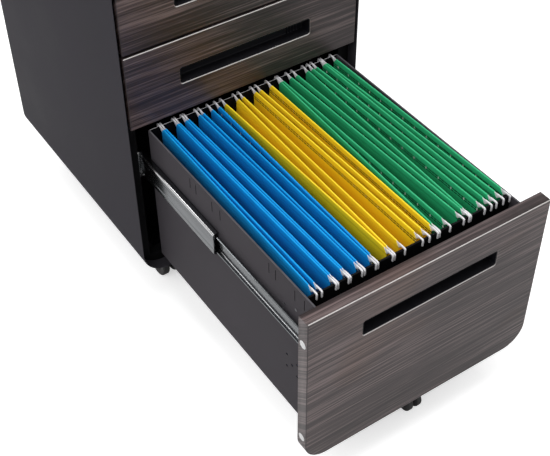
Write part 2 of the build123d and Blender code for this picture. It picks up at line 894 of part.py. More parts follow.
def folder_rod(front_x, rear_x):
    """One rod from the rail to the back wall."""
    middle = front_y + front_rail_depth + rail_span / 2
    rod = along_x(rod_profile(), -rod_thickness / 2, rod_thickness / 2)
    turn = -math.degrees(math.atan2(rear_x - front_x, rail_span))
    centred = Pos(0, -middle, 0) * rod
    return Pos((front_x + rear_x) / 2, middle, 0) * Rot(0, 0, turn) * centred


def spread_place(place):
    """A folder's place, spread with the drawer's width."""
    return tuple(folder_spread * size for size in place)


def rod_pair(place):
    """The two rods of one folder."""
    front_middle, front_opening, rear_middle, rear_opening = place
    return [folder_rod(front_middle + side * front_opening / 2, rear_middle + side * rear_opening / 2)
            for side in (-1, 1)]


def place_at(place, depth):
    """Middle and opening of a folder at some depth between its hooks."""
    front_middle, front_opening, rear_middle, rear_opening = place
    share = (depth - front_rail_depth) / rail_span
    return (front_middle + share * (rear_middle - front_middle),
            front_opening + share * (rear_opening - front_opening))


def folder_section(place, depth):
    """The V of card at one end of a folder."""
    middle, opening = place_at(place, depth)
    half = folder_card / 2
    fold = folder_fold_width / 2
    top = rod_bottom()
    bottom = file_box_bottom + drawer_sheet + folder_floor_gap
    plane = Plane(origin=(0, front_y + depth, 0), x_dir=(1, 0, 0), z_dir=(0, -1, 0))
    return plane * Polygon(
        (middle - opening / 2 - half, top), (middle - opening / 2 + half, top),
        (middle, bottom + folder_fold_height), (middle + opening / 2 - half, top),
        (middle + opening / 2 + half, top), (middle + fold, bottom), (middle - fold, bottom),
        align=None)


def folder(place):
    """One hanging folder: two flaps that meet in the fold below."""
    front, rear = folder_ends()
    return loft([folder_section(place, front), folder_section(place, rear)], ruled=True)


# Write the cabinet and its castors
write("shell", shell())
write("rear_panel", rear_panel())
write("front_frame", front_frame())
write("slide_uprights", *slide_uprights())
write("cross_rails", *cross_rails())
write("base_channels", *base_channels())
write("cabinet_screws", *cabinet_screws())
plates = []
for side_name, side in (("left", -1), ("right", 1)):
    for end_name, end_depth in castor_depths.items():
        place_on_floor = castor_origin(side, end_depth)
        plates.append(place_on_floor * castor_plate())
        write(f"castor_hood_{end_name}_{side_name}", place_on_floor * castor_hood())
        write(f"castor_wheels_{end_name}_{side_name}",
              *[place_on_floor * solid for solid in castor_wheels()])
write("castor_plates", *plates)

# Write the file drawer, which stands open
write("file_front", *slide_along([file_front()], file_out))
write("file_grip_pocket", *slide_along([grip_pocket(file_front_top)], file_out))
write("file_front_caps", *slide_along(cap_bars(cap_radius), file_out))
file_wall = inner_front(file_box_bottom, file_box_top)
for shank_hole in front_screw_shanks(front_screw_radius + running_fit):
    file_wall -= shank_hole
write("file_inner_front", *slide_along([file_wall], file_out))
write("file_tray", *slide_along([file_tray()], file_out))
write("file_back", *slide_along(
    [end_wall(file_box_bottom, file_box_top, box_end - drawer_sheet)], file_out))
write("hanging_rail", *slide_along([hanging_rail()], file_out))
write("file_drawer_screws", *slide_along(file_drawer_screws(), file_out))
write("fifth_wheel_bracket", *slide_along([fifth_wheel_bracket()], file_out))
write("fifth_wheel_axle", *slide_along([fifth_wheel_axle()], file_out))
write("fifth_wheels", *slide_along(fifth_wheels(), file_out))
write_slides("file", file_slide_z, file_out)

# Write the folders that hang in the file drawer
folder_colours = {"blue": blue_folder_places, "yellow": yellow_folder_places,
                  "green": green_folder_places}
all_rods = []
for colour, drawn_places in folder_colours.items():
    places = [spread_place(place) for place in drawn_places]
    write(f"{colour}_folders", *slide_along([folder(place) for place in places], file_out))
    for place in places:
        all_rods.extend(rod_pair(place))
write("folder_rods", *slide_along(all_rods, file_out))

# Write the two box drawers, which are shut
box_drawers = {"middle": (middle_front_bottom, middle_front_top, middle_box_bottom, middle_slide_z),
               "top": (top_front_bottom, top_front_top, top_box_bottom, top_slide_z)}
for name, (front_low, front_high, box_low, slide_z) in box_drawers.items():
    board = front_board(front_low, front_high, round_top=name == "top")
    wall = inner_front(box_low, box_low + box_height)
    if name == "top":
        barrel_hole = rod_depth(lock_x, -cut_past, box_start + cut_past, lock_z(),
                                lock_radius + running_fit)
        board -= barrel_hole
        wall -= barrel_hole
    write(f"{name}_front", board)
    write(f"{name}_inner_front", wall)
    write(f"{name}_grip_pocket", grip_pocket(front_high))
    write(f"{name}_tray", tray(box_low, box_low + box_height))
    write(f"{name}_back", end_wall(box_low, box_low + box_height, box_end - drawer_sheet))
    write_slides(name, slide_z, 0.0)
write("lock_barrel", lock_barrel())
write("lock_plug", lock_plug())
write("lock_cam", lock_cam())
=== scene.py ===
"""Looks of a steel mobile pedestal: two box drawers over an open file drawer hung with folders.

Metres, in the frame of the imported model: +Z up, the drawers open towards -Y, the floor at z = 0.
Sheet metal, boards, cards and slides are surfaces worked out as whole arrays; the small fittings
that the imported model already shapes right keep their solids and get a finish.
"""
import logging
import math
from abc import ABC, abstractmethod
from collections.abc import Callable, Sequence
from dataclasses import dataclass
from enum import Enum
from functools import cache

import bmesh
import bpy
import numpy as np
from mathutils import Matrix, Vector


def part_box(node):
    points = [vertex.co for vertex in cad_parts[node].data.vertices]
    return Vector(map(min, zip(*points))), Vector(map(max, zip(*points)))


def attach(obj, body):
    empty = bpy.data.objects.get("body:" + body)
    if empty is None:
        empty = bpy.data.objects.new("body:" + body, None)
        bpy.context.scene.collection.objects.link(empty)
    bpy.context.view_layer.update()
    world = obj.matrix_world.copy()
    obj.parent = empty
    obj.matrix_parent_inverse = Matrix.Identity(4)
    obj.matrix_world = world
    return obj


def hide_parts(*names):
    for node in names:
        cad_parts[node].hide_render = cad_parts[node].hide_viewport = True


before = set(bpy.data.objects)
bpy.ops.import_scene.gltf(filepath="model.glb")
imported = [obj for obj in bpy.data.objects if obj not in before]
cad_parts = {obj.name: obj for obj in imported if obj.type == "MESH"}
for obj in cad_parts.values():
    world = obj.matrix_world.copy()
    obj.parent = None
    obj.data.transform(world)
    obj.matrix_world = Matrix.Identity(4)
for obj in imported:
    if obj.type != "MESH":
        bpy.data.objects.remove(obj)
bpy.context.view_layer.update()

log = logging.getLogger("pedestal")

Colour = tuple[float, float, float]
Socket = bpy.types.NodeSocket
Sockets = tuple[Socket, ...]
Piece = bpy.types.Object

PHOTO_WIDTH = 550
SENSOR = 0.036
WELD = 2e-6
LEAN = 0.9
DRIFT = 0.0012
NOISE_BAND = (0.3, 0.7)
NOT_QUITE_BLACK = (2, 2, 2)


class Slot(Enum):
    """The model's material slots."""

    BODY = "body_paint"
    FRAME = "frame_paint"
    DRAWER = "drawer_paint"
    LAMINATE = "wood_laminate"
    POCKET = "pocket_plastic"
    CAP = "cap_plastic"
    ZINC = "zinc_steel"
    BALLS = "ball_steel"
    SCREWS = "screw_steel"
    CASTOR_STEEL = "castor_steel"
    CASTOR_BODY = "castor_plastic"
    WHEEL = "castor_wheel"
    BLUE = "blue_card"
    YELLOW = "yellow_card"
    GREEN = "green_card"
    RODS = "rod_steel"
    CHROME = "lock_chrome"


class Side(Enum):
    """Left or right of someone who faces the drawers."""

    LEFT = -1
    RIGHT = 1


# Shader nodes


def linear(colour: Sequence[float], factor: float = 1.0, lift: float = 0.0) -> tuple[float, ...]:
    """Turn a colour from 0 to 255, times a factor and lifted, into a shader's linear values."""
    share = np.minimum(np.asarray(colour, float) * factor + lift, 255.0) / 255.0
    value = np.where(share <= 0.04045, share / 12.92, ((share + 0.055) / 1.055) ** 2.4)
    return (*value.tolist(), 1.0)


class Nodes:
    """A node tree with short calls that add and join nodes."""

    def __init__(self, tree: bpy.types.NodeTree) -> None:
        """Keep the tree that the calls work on."""
        self.tree = tree

    @classmethod
    def emptied(cls, owner: bpy.types.ID) -> "Nodes":
        """The tree of a material or a world, with nothing in it."""
        owner.use_nodes = True
        owner.node_tree.nodes.clear()
        return cls(owner.node_tree)

    def add(self, kind: str, feeds: dict | None = None, **settings: object) -> bpy.types.Node:
        """Add a node.

        Args:
            kind: the node's type, without the ShaderNode that it starts with.
            feeds: input name or number to a socket to link, or a value to set.
            settings: attributes of the node.

        Returns:
            The new node.
        """
        node = self.tree.nodes.new("ShaderNode" + kind)
        for name, value in settings.items():
            setattr(node, name, value)
        for name, value in (feeds or {}).items():
            if isinstance(value, Socket):
                self.tree.links.new(value, node.inputs[name])
            else:
                node.inputs[name].default_value = value
        return node

    def effect(self, name: str, place: Socket, **amounts: object) -> bpy.types.bpy_prop_collection:
        """The outputs of a shared effect, laid out by a place."""
        return self.add("Group", {"Place": place, **amounts}, node_tree=effect_group(name)).outputs

    def lay(self, skin: Socket, name: str, place: Socket, amount: float, colour: Sequence[float]) -> Socket:
        """A skin with a masking effect's linear colour laid over it."""
        return self.mix(self.effect(name, place, Amount=amount)[0], skin, colour)

    def math(self, operation: str, *values: object) -> Socket:
        """Arithmetic on values or sockets, step by step from the left."""
        result = values[0]
        for value in values[1:] or (0.0,):
            result = self.add("Math", {0: result, 1: value}, operation=operation).outputs[0]
        return result

    def blend(self, *parts: tuple[Socket, float]) -> Socket:
        """The sum of values, each times its weight."""
        return self.math("ADD", *(self.math("MULTIPLY", value, weight) for value, weight in parts))

    def near(self, value: Socket, middle: float, half: float) -> Socket:
        """1 where a value is within half of middle, else 0."""
        away = self.math("ABSOLUTE", self.math("SUBTRACT", value, middle))
        return self.math("LESS_THAN", away, half)

    def dashes(self, value: Socket, pitch: float, share: float) -> Socket:
        """1 over a share of each pitch, else 0."""
        return self.math("LESS_THAN", self.math("FRACT", self.math("DIVIDE", value, pitch)), share)

    def stretch(self, vector: Socket, scale: Sequence[float]) -> Socket:
        """Scale a place by a factor along each axis."""
        return self.add("Mapping", {"Vector": vector, "Scale": scale}).outputs[0]

    def noise(self, vector: Socket, scale: object, detail: float = 2.0, roughness: float = 0.5) -> Socket:
        """Smooth noise between 0 and 1."""
        feeds = {"Vector": vector, "Scale": scale, "Detail": detail, "Roughness": roughness}
        return self.add("TexNoise", feeds).outputs["Fac"]

    def span(self, value: Socket, low: float, high: float, to_low: float = 0.0,
             to_high: float = 1.0) -> Socket:
        """Map a value from one span to another, held at the ends."""
        feeds = {"Value": value, "From Min": low, "From Max": high, "To Min": to_low, "To Max": to_high}
        return self.add("MapRange", feeds).outputs[0]

    def mix(self, share: Socket, first: object, second: object) -> Socket:
        """Blend two colours."""
        return self.add("Mix", {0: share, 6: first, 7: second}, data_type="RGBA").outputs[2]

    def tint(self, base: Socket, mark: str, colour: Colour, toward: float = 1.0,
             most: float = 1.0) -> Socket:
        """Tint a colour where a mesh's attribute runs from 0 toward 1 or -1, by a share at most."""
        marked = self.add("Attribute", attribute_name=mark).outputs["Fac"]
        return self.mix(self.span(marked, 0.0, toward, 0.0, most), base, linear(colour))

    def ramp(self, value: Socket, *stops: tuple[float, Sequence[float]]) -> Socket:
        """Linear colours at their places along a value, in order."""
        node = self.add("ValToRGB", {"Fac": value})
        elements = node.color_ramp.elements
        while len(elements) < len(stops):
            elements.new(0.5)
        for element, (place, colour) in zip(elements, stops):
            element.position = place
            element.color = colour
        return node.outputs[0]

    def bump(self, height: Socket, depth: float, strength: float = 1.0) -> Socket:
        """A normal from a height, with its depth in metres."""
        return self.add("Bump", {"Height": height, "Distance": depth, "Strength": strength}).outputs[0]


def powder_grain(nodes: Nodes, place: Socket, grains: Socket) -> Sockets:
    """Fine bumps of baked powder with a slow mottle over them."""
    bumps, waves = nodes.noise(place, grains, 3.0, 0.6), nodes.noise(place, 170.0, 1.0)
    return nodes.blend((bumps, 0.7), (waves, 0.3)), nodes.noise(place, 9.0, 4.0, 0.55)


def rolled_streaks(nodes: Nodes, place: Socket, density: Socket) -> Sockets:
    """Long fine lines along one axis, as rolling and brushing leave."""
    scaled = nodes.add("VectorMath", {0: place, 1: density}, operation="MULTIPLY").outputs[0]
    fine, broad = nodes.noise(scaled, 1.0, 4.0, 0.65), nodes.noise(scaled, 0.12)
    return (nodes.blend((fine, 0.65), (broad, 0.35)),)


def scuffs(nodes: Nodes, place: Socket, amount: Socket) -> Sockets:
    """Sparse fine scratches: the thin lines where two noises are level, kept only in worn patches."""
    apart = nodes.math("SUBTRACT", nodes.noise(place, 55.0, 3.0, 0.7), nodes.noise(place, 14.0))
    line = nodes.span(nodes.math("ABSOLUTE", apart), 0.0, 0.006, 1.0, 0.0)
    patch = nodes.span(nodes.noise(place, 7.0, 1.0), 0.56, 0.72)
    return (nodes.math("MULTIPLY", line, patch, amount),)


def dust_veil(nodes: Nodes, place: Socket, amount: Socket) -> Sockets:
    """A thin veil on faces that look up, uneven in patches."""
    normal = nodes.add("NewGeometry").outputs["Normal"]
    flat = nodes.span(nodes.add("SeparateXYZ", {0: normal}).outputs["Z"], 0.75, 1.0)
    patchy = nodes.span(nodes.noise(place, 60.0, 5.0, 0.7), 0.35, 0.75, 0.3, 1.0)
    return (nodes.math("MULTIPLY", flat, patchy, amount),)


def laminate_grain(nodes: Nodes, place: Socket) -> Sockets:
    """Wood print: broad bands, streaks and fine pores, all drawn out along X and leaning with depth."""
    x, y, z = nodes.add("SeparateXYZ", {0: place}).outputs
    level = nodes.math("ADD", z, nodes.math("MULTIPLY", y, LEAN))
    drift = nodes.noise(nodes.add("CombineXYZ", {0: x, 2: level}).outputs[0], 5.0)
    level = nodes.math("ADD", level, nodes.math("MULTIPLY", drift, DRIFT))
    flat = nodes.add("CombineXYZ", {0: x, 2: level}).outputs[0]
    bands = nodes.noise(nodes.stretch(flat, (4.0, 1.0, 9.0)), 1.0, 1.0)
    streaks = nodes.noise(nodes.stretch(flat, (3.2, 1.0, 290.0)), 1.0, 3.0, 0.66)
    pores = nodes.noise(nodes.stretch(flat, (14.0, 1.0, 880.0)), 1.0, 2.0, 0.7)
    blotch = nodes.noise(nodes.stretch(flat, (6.0, 1.0, 11.0)), 1.0, 1.0)
    tone = nodes.blend((bands, 0.2), (streaks, 0.55), (pores, 0.25))
    warmth = nodes.math("MULTIPLY", nodes.span(blotch, 0.57, 0.74), nodes.span(streaks, 0.3, 0.7, 0.4, 1.0))
    return tone, warmth, nodes.math("ADD", streaks, pores)


def card_fibre(nodes: Nodes, place: Socket) -> Sockets:
    """Pressed card: a faint cloud of fibres and a fine tooth."""
    tooth = nodes.noise(nodes.stretch(place, (1.0, 0.35, 1.0)), 2600.0)
    return nodes.noise(place, 45.0, 6.0, 0.7), tooth


EFFECTS: dict[str, tuple[Callable[..., Sockets], dict[str, str], tuple[str, ...]]] = {
    "powder grain": (powder_grain, {"Place": "Vector", "Grains": "Float"}, ("Height", "Mottle")),
    "rolled streaks": (rolled_streaks, {"Place": "Vector", "Density": "Vector"}, ("Lines",)),
    "scuffs": (scuffs, {"Place": "Vector", "Amount": "Float"}, ("Mask",)),
    "dust veil": (dust_veil, {"Place": "Vector", "Amount": "Float"}, ("Mask",)),
    "laminate grain": (laminate_grain, {"Place": "Vector"}, ("Tone", "Warmth", "Pores")),
    "card fibre": (card_fibre, {"Place": "Vector"}, ("Cloud", "Tooth")),
}


@cache
def effect_group(name: str) -> bpy.types.NodeTree:
    """The node group of an effect, built when it is first asked for."""
    fill, inputs, outputs = EFFECTS[name]
    tree = bpy.data.node_groups.new(name, "ShaderNodeTree")
    for label, kind in inputs.items():
        tree.interface.new_socket(label, in_out="INPUT", socket_type="NodeSocket" + kind)
    for label in outputs:
        tree.interface.new_socket(label, in_out="OUTPUT", socket_type="NodeSocketFloat")
    entry, leave = tree.nodes.new("NodeGroupInput"), tree.nodes.new("NodeGroupOutput")
    made = fill(Nodes(tree), *(entry.outputs[label] for label in inputs))
    for label, socket in zip(outputs, made):
        tree.links.new(socket, leave.inputs[label])
    return tree


# Finishes


@dataclass(frozen=True)
class Finish(ABC):
    """A surface finish that becomes one material."""

    slot: Slot
    colour: Colour

    def material(self) -> bpy.types.Material:
        """Build the material round one Principled shader."""
        made = bpy.data.materials.new(self.slot.value)
        nodes = Nodes.emptied(made)
        feeds = self.dress(nodes, nodes.add("TexCoord").outputs["Object"])
        shader = nodes.add("BsdfPrincipled", feeds)
        nodes.add("OutputMaterial", {"Surface": shader.outputs[0]}, is_active_output=True)
        return made

    @abstractmethod
    def dress(self, nodes: Nodes, place: Socket) -> dict[str, object]:
        """Add the finish's nodes.

        Args:
            nodes: the material's tree.
            place: the object coordinates.

        Returns:
            What feeds the Principled shader's inputs.
        """


@dataclass(frozen=True)
class PowderCoat(Finish):
    """Baked powder paint on steel sheet, with painted shade, near black, within holes and a painted
    highlight on a marked edge.
    """

    roughness: float = 0.62
    gloss: float = 0.06
    dust: float = 0.02
    scuffs: float = 0.2
    grains: float = 900.0
    grain_depth: float = 0.00005
    mottle: tuple[float, float] = (0.95, 1.05)
    scuff_lift: float = 45.0
    veil: Colour = (146, 148, 154)
    painted_highlight: Colour = (216, 214, 216)
    matt: float = 0.06
    tread: Colour | None = None

    def dress(self, nodes: Nodes, place: Socket) -> dict[str, object]:
        """Mottled colour, faint scuffs, a veil of dust and a fine grain."""
        grain = nodes.effect("powder grain", place, Grains=self.grains)
        tones = (linear(self.colour, factor) for factor in self.mottle)
        skin = nodes.ramp(grain["Mottle"], *zip(NOISE_BAND, tones))
        if self.tread:
            skin = nodes.tint(skin, "tread", self.tread)
        skin = nodes.lay(skin, "scuffs", place, self.scuffs, linear(self.colour, lift=self.scuff_lift))
        skin = nodes.lay(skin, "dust veil", place, self.dust, linear(self.veil))
        # Painted shade, near black, where the mark is 1, and a painted highlight where it is -1.
        if not self.tread:
            skin = nodes.tint(nodes.tint(skin, "painted_light_and_shade", NOT_QUITE_BLACK), "painted_light_and_shade", self.painted_highlight, -1.0)
        rough = nodes.span(grain["Mottle"], *NOISE_BAND, self.roughness - 0.05, self.roughness + self.matt)
        return {"Base Color": skin, "Roughness": rough, "Specular IOR Level": self.gloss,
                "Normal": nodes.bump(grain["Height"], self.grain_depth)}


@dataclass(frozen=True)
class Moulded(PowderCoat):
    """Moulded plastic or rubber with a spark-eroded grain, darker on a wheel's tread."""

    roughness: float = 0.4
    gloss: float = 0.5
    dust: float = 0.1
    scuffs: float = 0.3
    grains: float = 1500.0
    grain_depth: float = 0.00003
    mottle: tuple[float, float] = (0.94, 1.0)
    scuff_lift: float = 30.0
    veil: Colour = (150, 146, 140)
    matt: float = 0.08
    tread: Colour | None = (30, 29, 30)


@dataclass(frozen=True)
class Laminate(Finish):
    """Dark wood-print laminate, with a painted highlight over a pale cut line on its upper edges and painted
    shade at its left side.
    """

    colour: Colour = (57, 46, 47)
    dark: Colour = (31, 23, 24)
    light: Colour = (114, 98, 97)
    warm: Colour = (86, 56, 34)
    # The pale edge colour is partly the cut line's own colour and partly a painted highlight; the side
    # colour is painted shade.
    edge: Colour = (212, 208, 206)
    painted_side_shade: Colour = (30, 21, 23)
    veil: Colour = (170, 165, 160)
    dust: float = 0.05
    warmth: float = 0.5
    roughness: float = 0.36
    gloss: float = 0.45

    def dress(self, nodes: Nodes, place: Socket) -> dict[str, object]:
        """Streaked print, warm blotches, edge lines of painted highlight and painted shade, and satin sheen.
        """
        grain = nodes.effect("laminate grain", place)
        tone = grain["Tone"]
        tones = zip((0.4, 0.5, 0.61), map(linear, (self.dark, self.colour, self.light)))
        skin = nodes.ramp(tone, *tones)
        skin = nodes.mix(nodes.math("MULTIPLY", grain["Warmth"], self.warmth), skin, linear(self.warm))
        # Painted shade on the left edge, and a painted highlight, over the pale cut line, on upward edges
        # and the slot's lower edge.
        skin = nodes.tint(skin, "cut_edge", self.painted_side_shade, -1.0, 0.8)
        skin = nodes.tint(skin, "cut_edge", self.edge, 1.0, 0.9)
        skin = nodes.lay(skin, "dust veil", place, self.dust, linear(self.veil))
        rough = nodes.span(tone, 0.35, 0.65, self.roughness + 0.08, self.roughness - 0.06)
        return {"Base Color": skin, "Roughness": rough, "Specular IOR Level": self.gloss,
                "Normal": nodes.bump(grain["Pores"], 0.00006, 0.7)}


@dataclass(frozen=True)
class FolderCard(Finish):
    """Coloured card with punched tab slots below its hem."""

    # shade: the painted shade toward the foot, also the tone of the fibre cloud; crest: a painted highlight.
    shade: Colour
    crest: Colour
    ticks: float = 0.9
    tick: Colour = (238, 242, 238)
    slot_drop: float = 0.0102
    slot_apart: float = 0.0034
    slot_half: float = 0.0009
    slot_pitch: float = 0.0065
    slot_share: float = 0.88
    tick_pitch: float = 0.0252
    tick_share: float = 0.07
    tick_half: float = 0.0021
    tick_rise: float = 0.0005
    fade: tuple[float, ...] = (0.008, 0.055)
    lit_crest: tuple[float, ...] = (0.0002, 0.0014, 0.12, 0.0)
    cloud: tuple[float, ...] = (0.35, 0.65, 0.0, 0.16)

    def dress(self, nodes: Nodes, place: Socket) -> dict[str, object]:
        """Card darker toward the foot as painted shade, a painted highlight at the hem's crest, two rows of
        slots and small bridges between them.
        """
        fibre = nodes.effect("card fibre", place)
        flap = nodes.add("Attribute", attribute_name="flap_place").outputs["Vector"]
        along, drop, punched = nodes.add("SeparateXYZ", {0: flap}).outputs
        shade = linear(self.shade)
        # Painted shade darkens the card toward its foot, and a painted highlight lines the hem's crest.
        card = nodes.mix(nodes.span(drop, *self.fade), linear(self.colour), shade)
        card = nodes.mix(nodes.span(drop, *self.lit_crest), card, linear(self.crest))
        card = nodes.mix(nodes.span(fibre["Cloud"], *self.cloud), card, shade)
        rows = nodes.math("ADD", nodes.near(drop, self.slot_drop, self.slot_half),
                          nodes.near(drop, self.slot_drop + self.slot_apart, self.slot_half))
        slots = nodes.math("MULTIPLY", rows, nodes.dashes(along, self.slot_pitch, self.slot_share), punched)
        # The punched slots are painted near black: painted shade seen through the holes.
        card = nodes.mix(slots, card, linear(NOT_QUITE_BLACK))
        band = nodes.near(drop, self.slot_drop + self.slot_apart / 2 - self.tick_rise, self.tick_half)
        bridge = nodes.dashes(along, self.tick_pitch, self.tick_share)
        card = nodes.mix(nodes.math("MULTIPLY", bridge, band, punched, self.ticks), card, linear(self.tick))
        sunk = nodes.math("SUBTRACT", fibre["Tooth"], nodes.math("MULTIPLY", slots, 3.0))
        return {"Base Color": card, "Roughness": 0.55, "Normal": nodes.bump(sunk, 0.00004, 0.6),
                "Sheen Weight": 0.02, "Sheen Roughness": 0.5, "Specular IOR Level": 0.2}


@dataclass(frozen=True)
class BrightSteel(Finish):
    """Bare, plated or polished metal."""

    roughness: float = 0.3
    density: tuple[float, float, float] = (900.0, 14.0, 900.0)
    streak: float = 0.12
    scuffs: float = 0.4
    scuff_lift: float = 20.0
    depth: float = 0.00001
    painted_highlight: Colour = (252, 252, 253)

    def dress(self, nodes: Nodes, place: Socket) -> dict[str, object]:
        """Rolled streaks in colour, gloss and height, with light scuffs and a painted highlight on the
        folds.
        """
        lines = nodes.effect("rolled streaks", place, Density=self.density)["Lines"]
        tones = (linear(self.colour, 1 - self.streak), linear(self.colour))
        metal = nodes.ramp(lines, *zip(NOISE_BAND, tones))
        metal = nodes.lay(metal, "scuffs", place, self.scuffs, linear(self.colour, lift=self.scuff_lift))
        rough = nodes.span(lines, *NOISE_BAND, self.roughness + 0.08, max(0.03, self.roughness - 0.06))
        # Painted highlight, near white, where the bend mark is set.
        return {"Base Color": nodes.tint(metal, "bend", self.painted_highlight), "Metallic": 1.0, "Roughness": rough,
                "Normal": nodes.bump(lines, self.depth, 0.6)}


FINISHES: tuple[Finish, ...] = (
    PowderCoat(Slot.BODY, (58, 56, 61)),
    PowderCoat(Slot.FRAME, (14, 14, 16)),
    # The drawer's heavy veil on up-facing faces is partly dust and partly painted light on its rims.
    PowderCoat(Slot.DRAWER, (68, 65, 69), dust=0.22),
    Laminate(Slot.LAMINATE),
    Moulded(Slot.POCKET, (13, 13, 19), roughness=0.5, gloss=0.2, dust=0.02, scuffs=0.05),
    Moulded(Slot.CAP, (226, 226, 226), roughness=0.35, dust=0.0, scuffs=0.1),
    BrightSteel(Slot.ZINC, (136, 139, 142), roughness=0.2, streak=0.22),
    BrightSteel(Slot.BALLS, (205, 206, 208), roughness=0.16, density=(60.0, 60.0, 60.0), streak=0.05),
    BrightSteel(Slot.SCREWS, (110, 110, 114), roughness=0.3, density=(300.0, 300.0, 300.0)),
    BrightSteel(Slot.CASTOR_STEEL, (150, 151, 154), roughness=0.38, density=(200.0, 200.0, 200.0)),
    Moulded(Slot.CASTOR_BODY, (22, 22, 23), roughness=0.45),
    Moulded(Slot.WHEEL, (52, 50, 51), roughness=0.5, dust=0.02),
    FolderCard(Slot.BLUE, (0, 158, 236), (0, 76, 148), (60, 200, 245)),
    FolderCard(Slot.YELLOW, (255, 224, 36), (255, 204, 6), (255, 238, 110), ticks=0.15),
    FolderCard(Slot.GREEN, (48, 186, 126), (8, 124, 70), (130, 222, 178)),
    Moulded(Slot.RODS, (236, 235, 238), roughness=0.3, dust=0.0, scuffs=0.05),
    BrightSteel(Slot.CHROME, (222, 224, 228), roughness=0.1, density=(120.0, 120.0, 120.0), streak=0.04),
)


@cache
def paint(slot: Slot) -> bpy.types.Material:
    """The material of a slot, built when it is first asked for."""
    return next(finish for finish in FINISHES if finish.slot is slot).material()


def dress_nodes(slot: Slot, *nodes: str) -> None:
    """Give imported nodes' objects a slot's finish and leave their meshes alone."""
    for node in nodes:
        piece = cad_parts[node]
        if not piece.material_slots:
            piece.data.materials.append(None)
        for held in piece.material_slots:
            held.material = paint(slot)
        log.info("finish %s on packed node %s", slot.value, node)


# Mesh making


def make_piece(mesh: bpy.types.Mesh, name: str, slot: Slot, body: str, node: str, outward: bool = False,
               level: float = 0.0, sharp: float = 35.0) -> Piece:
    """Weld a mesh's seams, shade and paint it, and hang it on its body.

    Args:
        mesh: the mesh, which is changed.
        name: the piece's name.
        slot: its finish.
        body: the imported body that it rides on.
        node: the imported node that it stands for.
        outward: turn its faces outwards.
        level: join the faces that meet under this angle.
        sharp: edges sharper than this many degrees stay sharp.

    Returns:
        The finished piece.
    """
    work = bmesh.new()
    work.from_mesh(mesh)
    bmesh.ops.remove_doubles(work, verts=work.verts, dist=WELD)
    if outward:
        bmesh.ops.recalc_face_normals(work, faces=work.faces)
    if level:
        bmesh.ops.dissolve_limit(work, angle_limit=level, verts=work.verts, edges=work.edges)
    work.to_mesh(mesh)
    work.free()
    packed_normals = mesh.attributes.get("custom_normal")
    if packed_normals:
        mesh.attributes.remove(packed_normals)
    mesh.polygons.foreach_set("use_smooth", np.full(len(mesh.polygons), outward or level > 0.0))
    mesh.set_sharp_from_angle(angle=math.radians(sharp))
    mesh.materials.clear()
    mesh.materials.append(paint(slot))
    piece = bpy.data.objects.new(name, mesh)
    bpy.context.scene.collection.objects.link(piece)
    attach(piece, body)
    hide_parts(node)
    log.info("piece %s on %s, %d faces", name, body, len(mesh.polygons))
    return piece


class Surface:
    """One mesh, gathered from grids of points."""

    def __init__(self) -> None:
        """Start with no points and no faces."""
        self.points: list[np.ndarray] = []
        self.faces: list[np.ndarray] = []
        self.marks: dict[str, list[np.ndarray]] = {}
        self.count = 0

    def grid(self, points: np.ndarray, ring: bool = False, strips: int = 0,
             **marks: np.ndarray) -> "Surface":
        """Add a grid of points, its last column joined to its first, with a face between each four.

        Args:
            points: rows x columns x 3 places.
            ring: join the last row to the first too.
            strips: close the first and last row, each as this many strips between two facing runs of
                points. Two strips are also joined at their feet.
            marks: values per point, rows x columns, or x 3 for a vector.

        Returns:
            This surface.
        """
        rows, columns = points.shape[:2]
        index = np.arange(rows * columns).reshape(rows, columns) + self.count
        ends = index[[0, -1]] if strips else index[:0]
        index = np.hstack([index, index[:, :1]])
        if ring:
            index = np.vstack([index, index[:1]])
        quads = np.stack([index[:-1, :-1], index[1:, :-1], index[1:, 1:], index[:-1, 1:]], -1)
        self.faces.append(quads.reshape(-1, 4))
        for row in ends:
            runs = row.reshape(strips, 2, -1)
            for near, far in zip(runs[:, 0], runs[:, 1, ::-1]):
                self.faces.append(np.stack([near[:-1], near[1:], far[1:], far[:-1]], -1))
            if strips == 2:
                self.faces.append(np.array([[row[0], runs[0, 1, -1], runs[1, 0, 0], row[-1]]]))
        self.points.append(points.reshape(-1, 3))
        for name, values in marks.items():
            self.marks.setdefault(name, []).append(np.asarray(values, float).reshape(rows * columns, -1))
        self.count += rows * columns
        return self

    def build(self, name: str, slot: Slot, body: str, node: str, sharp: float = 35.0) -> None:
        """Make the piece; the arguments are make_piece's."""
        mesh = bpy.data.meshes.new(name)
        mesh.from_pydata(np.concatenate(self.points), [], np.concatenate(self.faces).tolist())
        for label, values in self.marks.items():
            column = np.concatenate(values)
            kind, key = ("FLOAT", "value") if column.shape[1] == 1 else ("FLOAT_VECTOR", "vector")
            mesh.attributes.new(label, kind, "POINT").data.foreach_set(key, column.ravel())
        make_piece(mesh, name, slot, body, node, outward=True, sharp=sharp)


def middle_of(node: str) -> tuple[float, ...]:
    """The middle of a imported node's box."""
    return tuple((low + high) / 2 for low, high in zip(*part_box(node)))


def arc(first: float, last: float, points: int) -> np.ndarray:
    """The cosine and sine of angles at even steps, in degrees."""
    angle = np.radians(np.linspace(first, last, points))
    return np.stack([np.cos(angle), np.sin(angle)], -1)


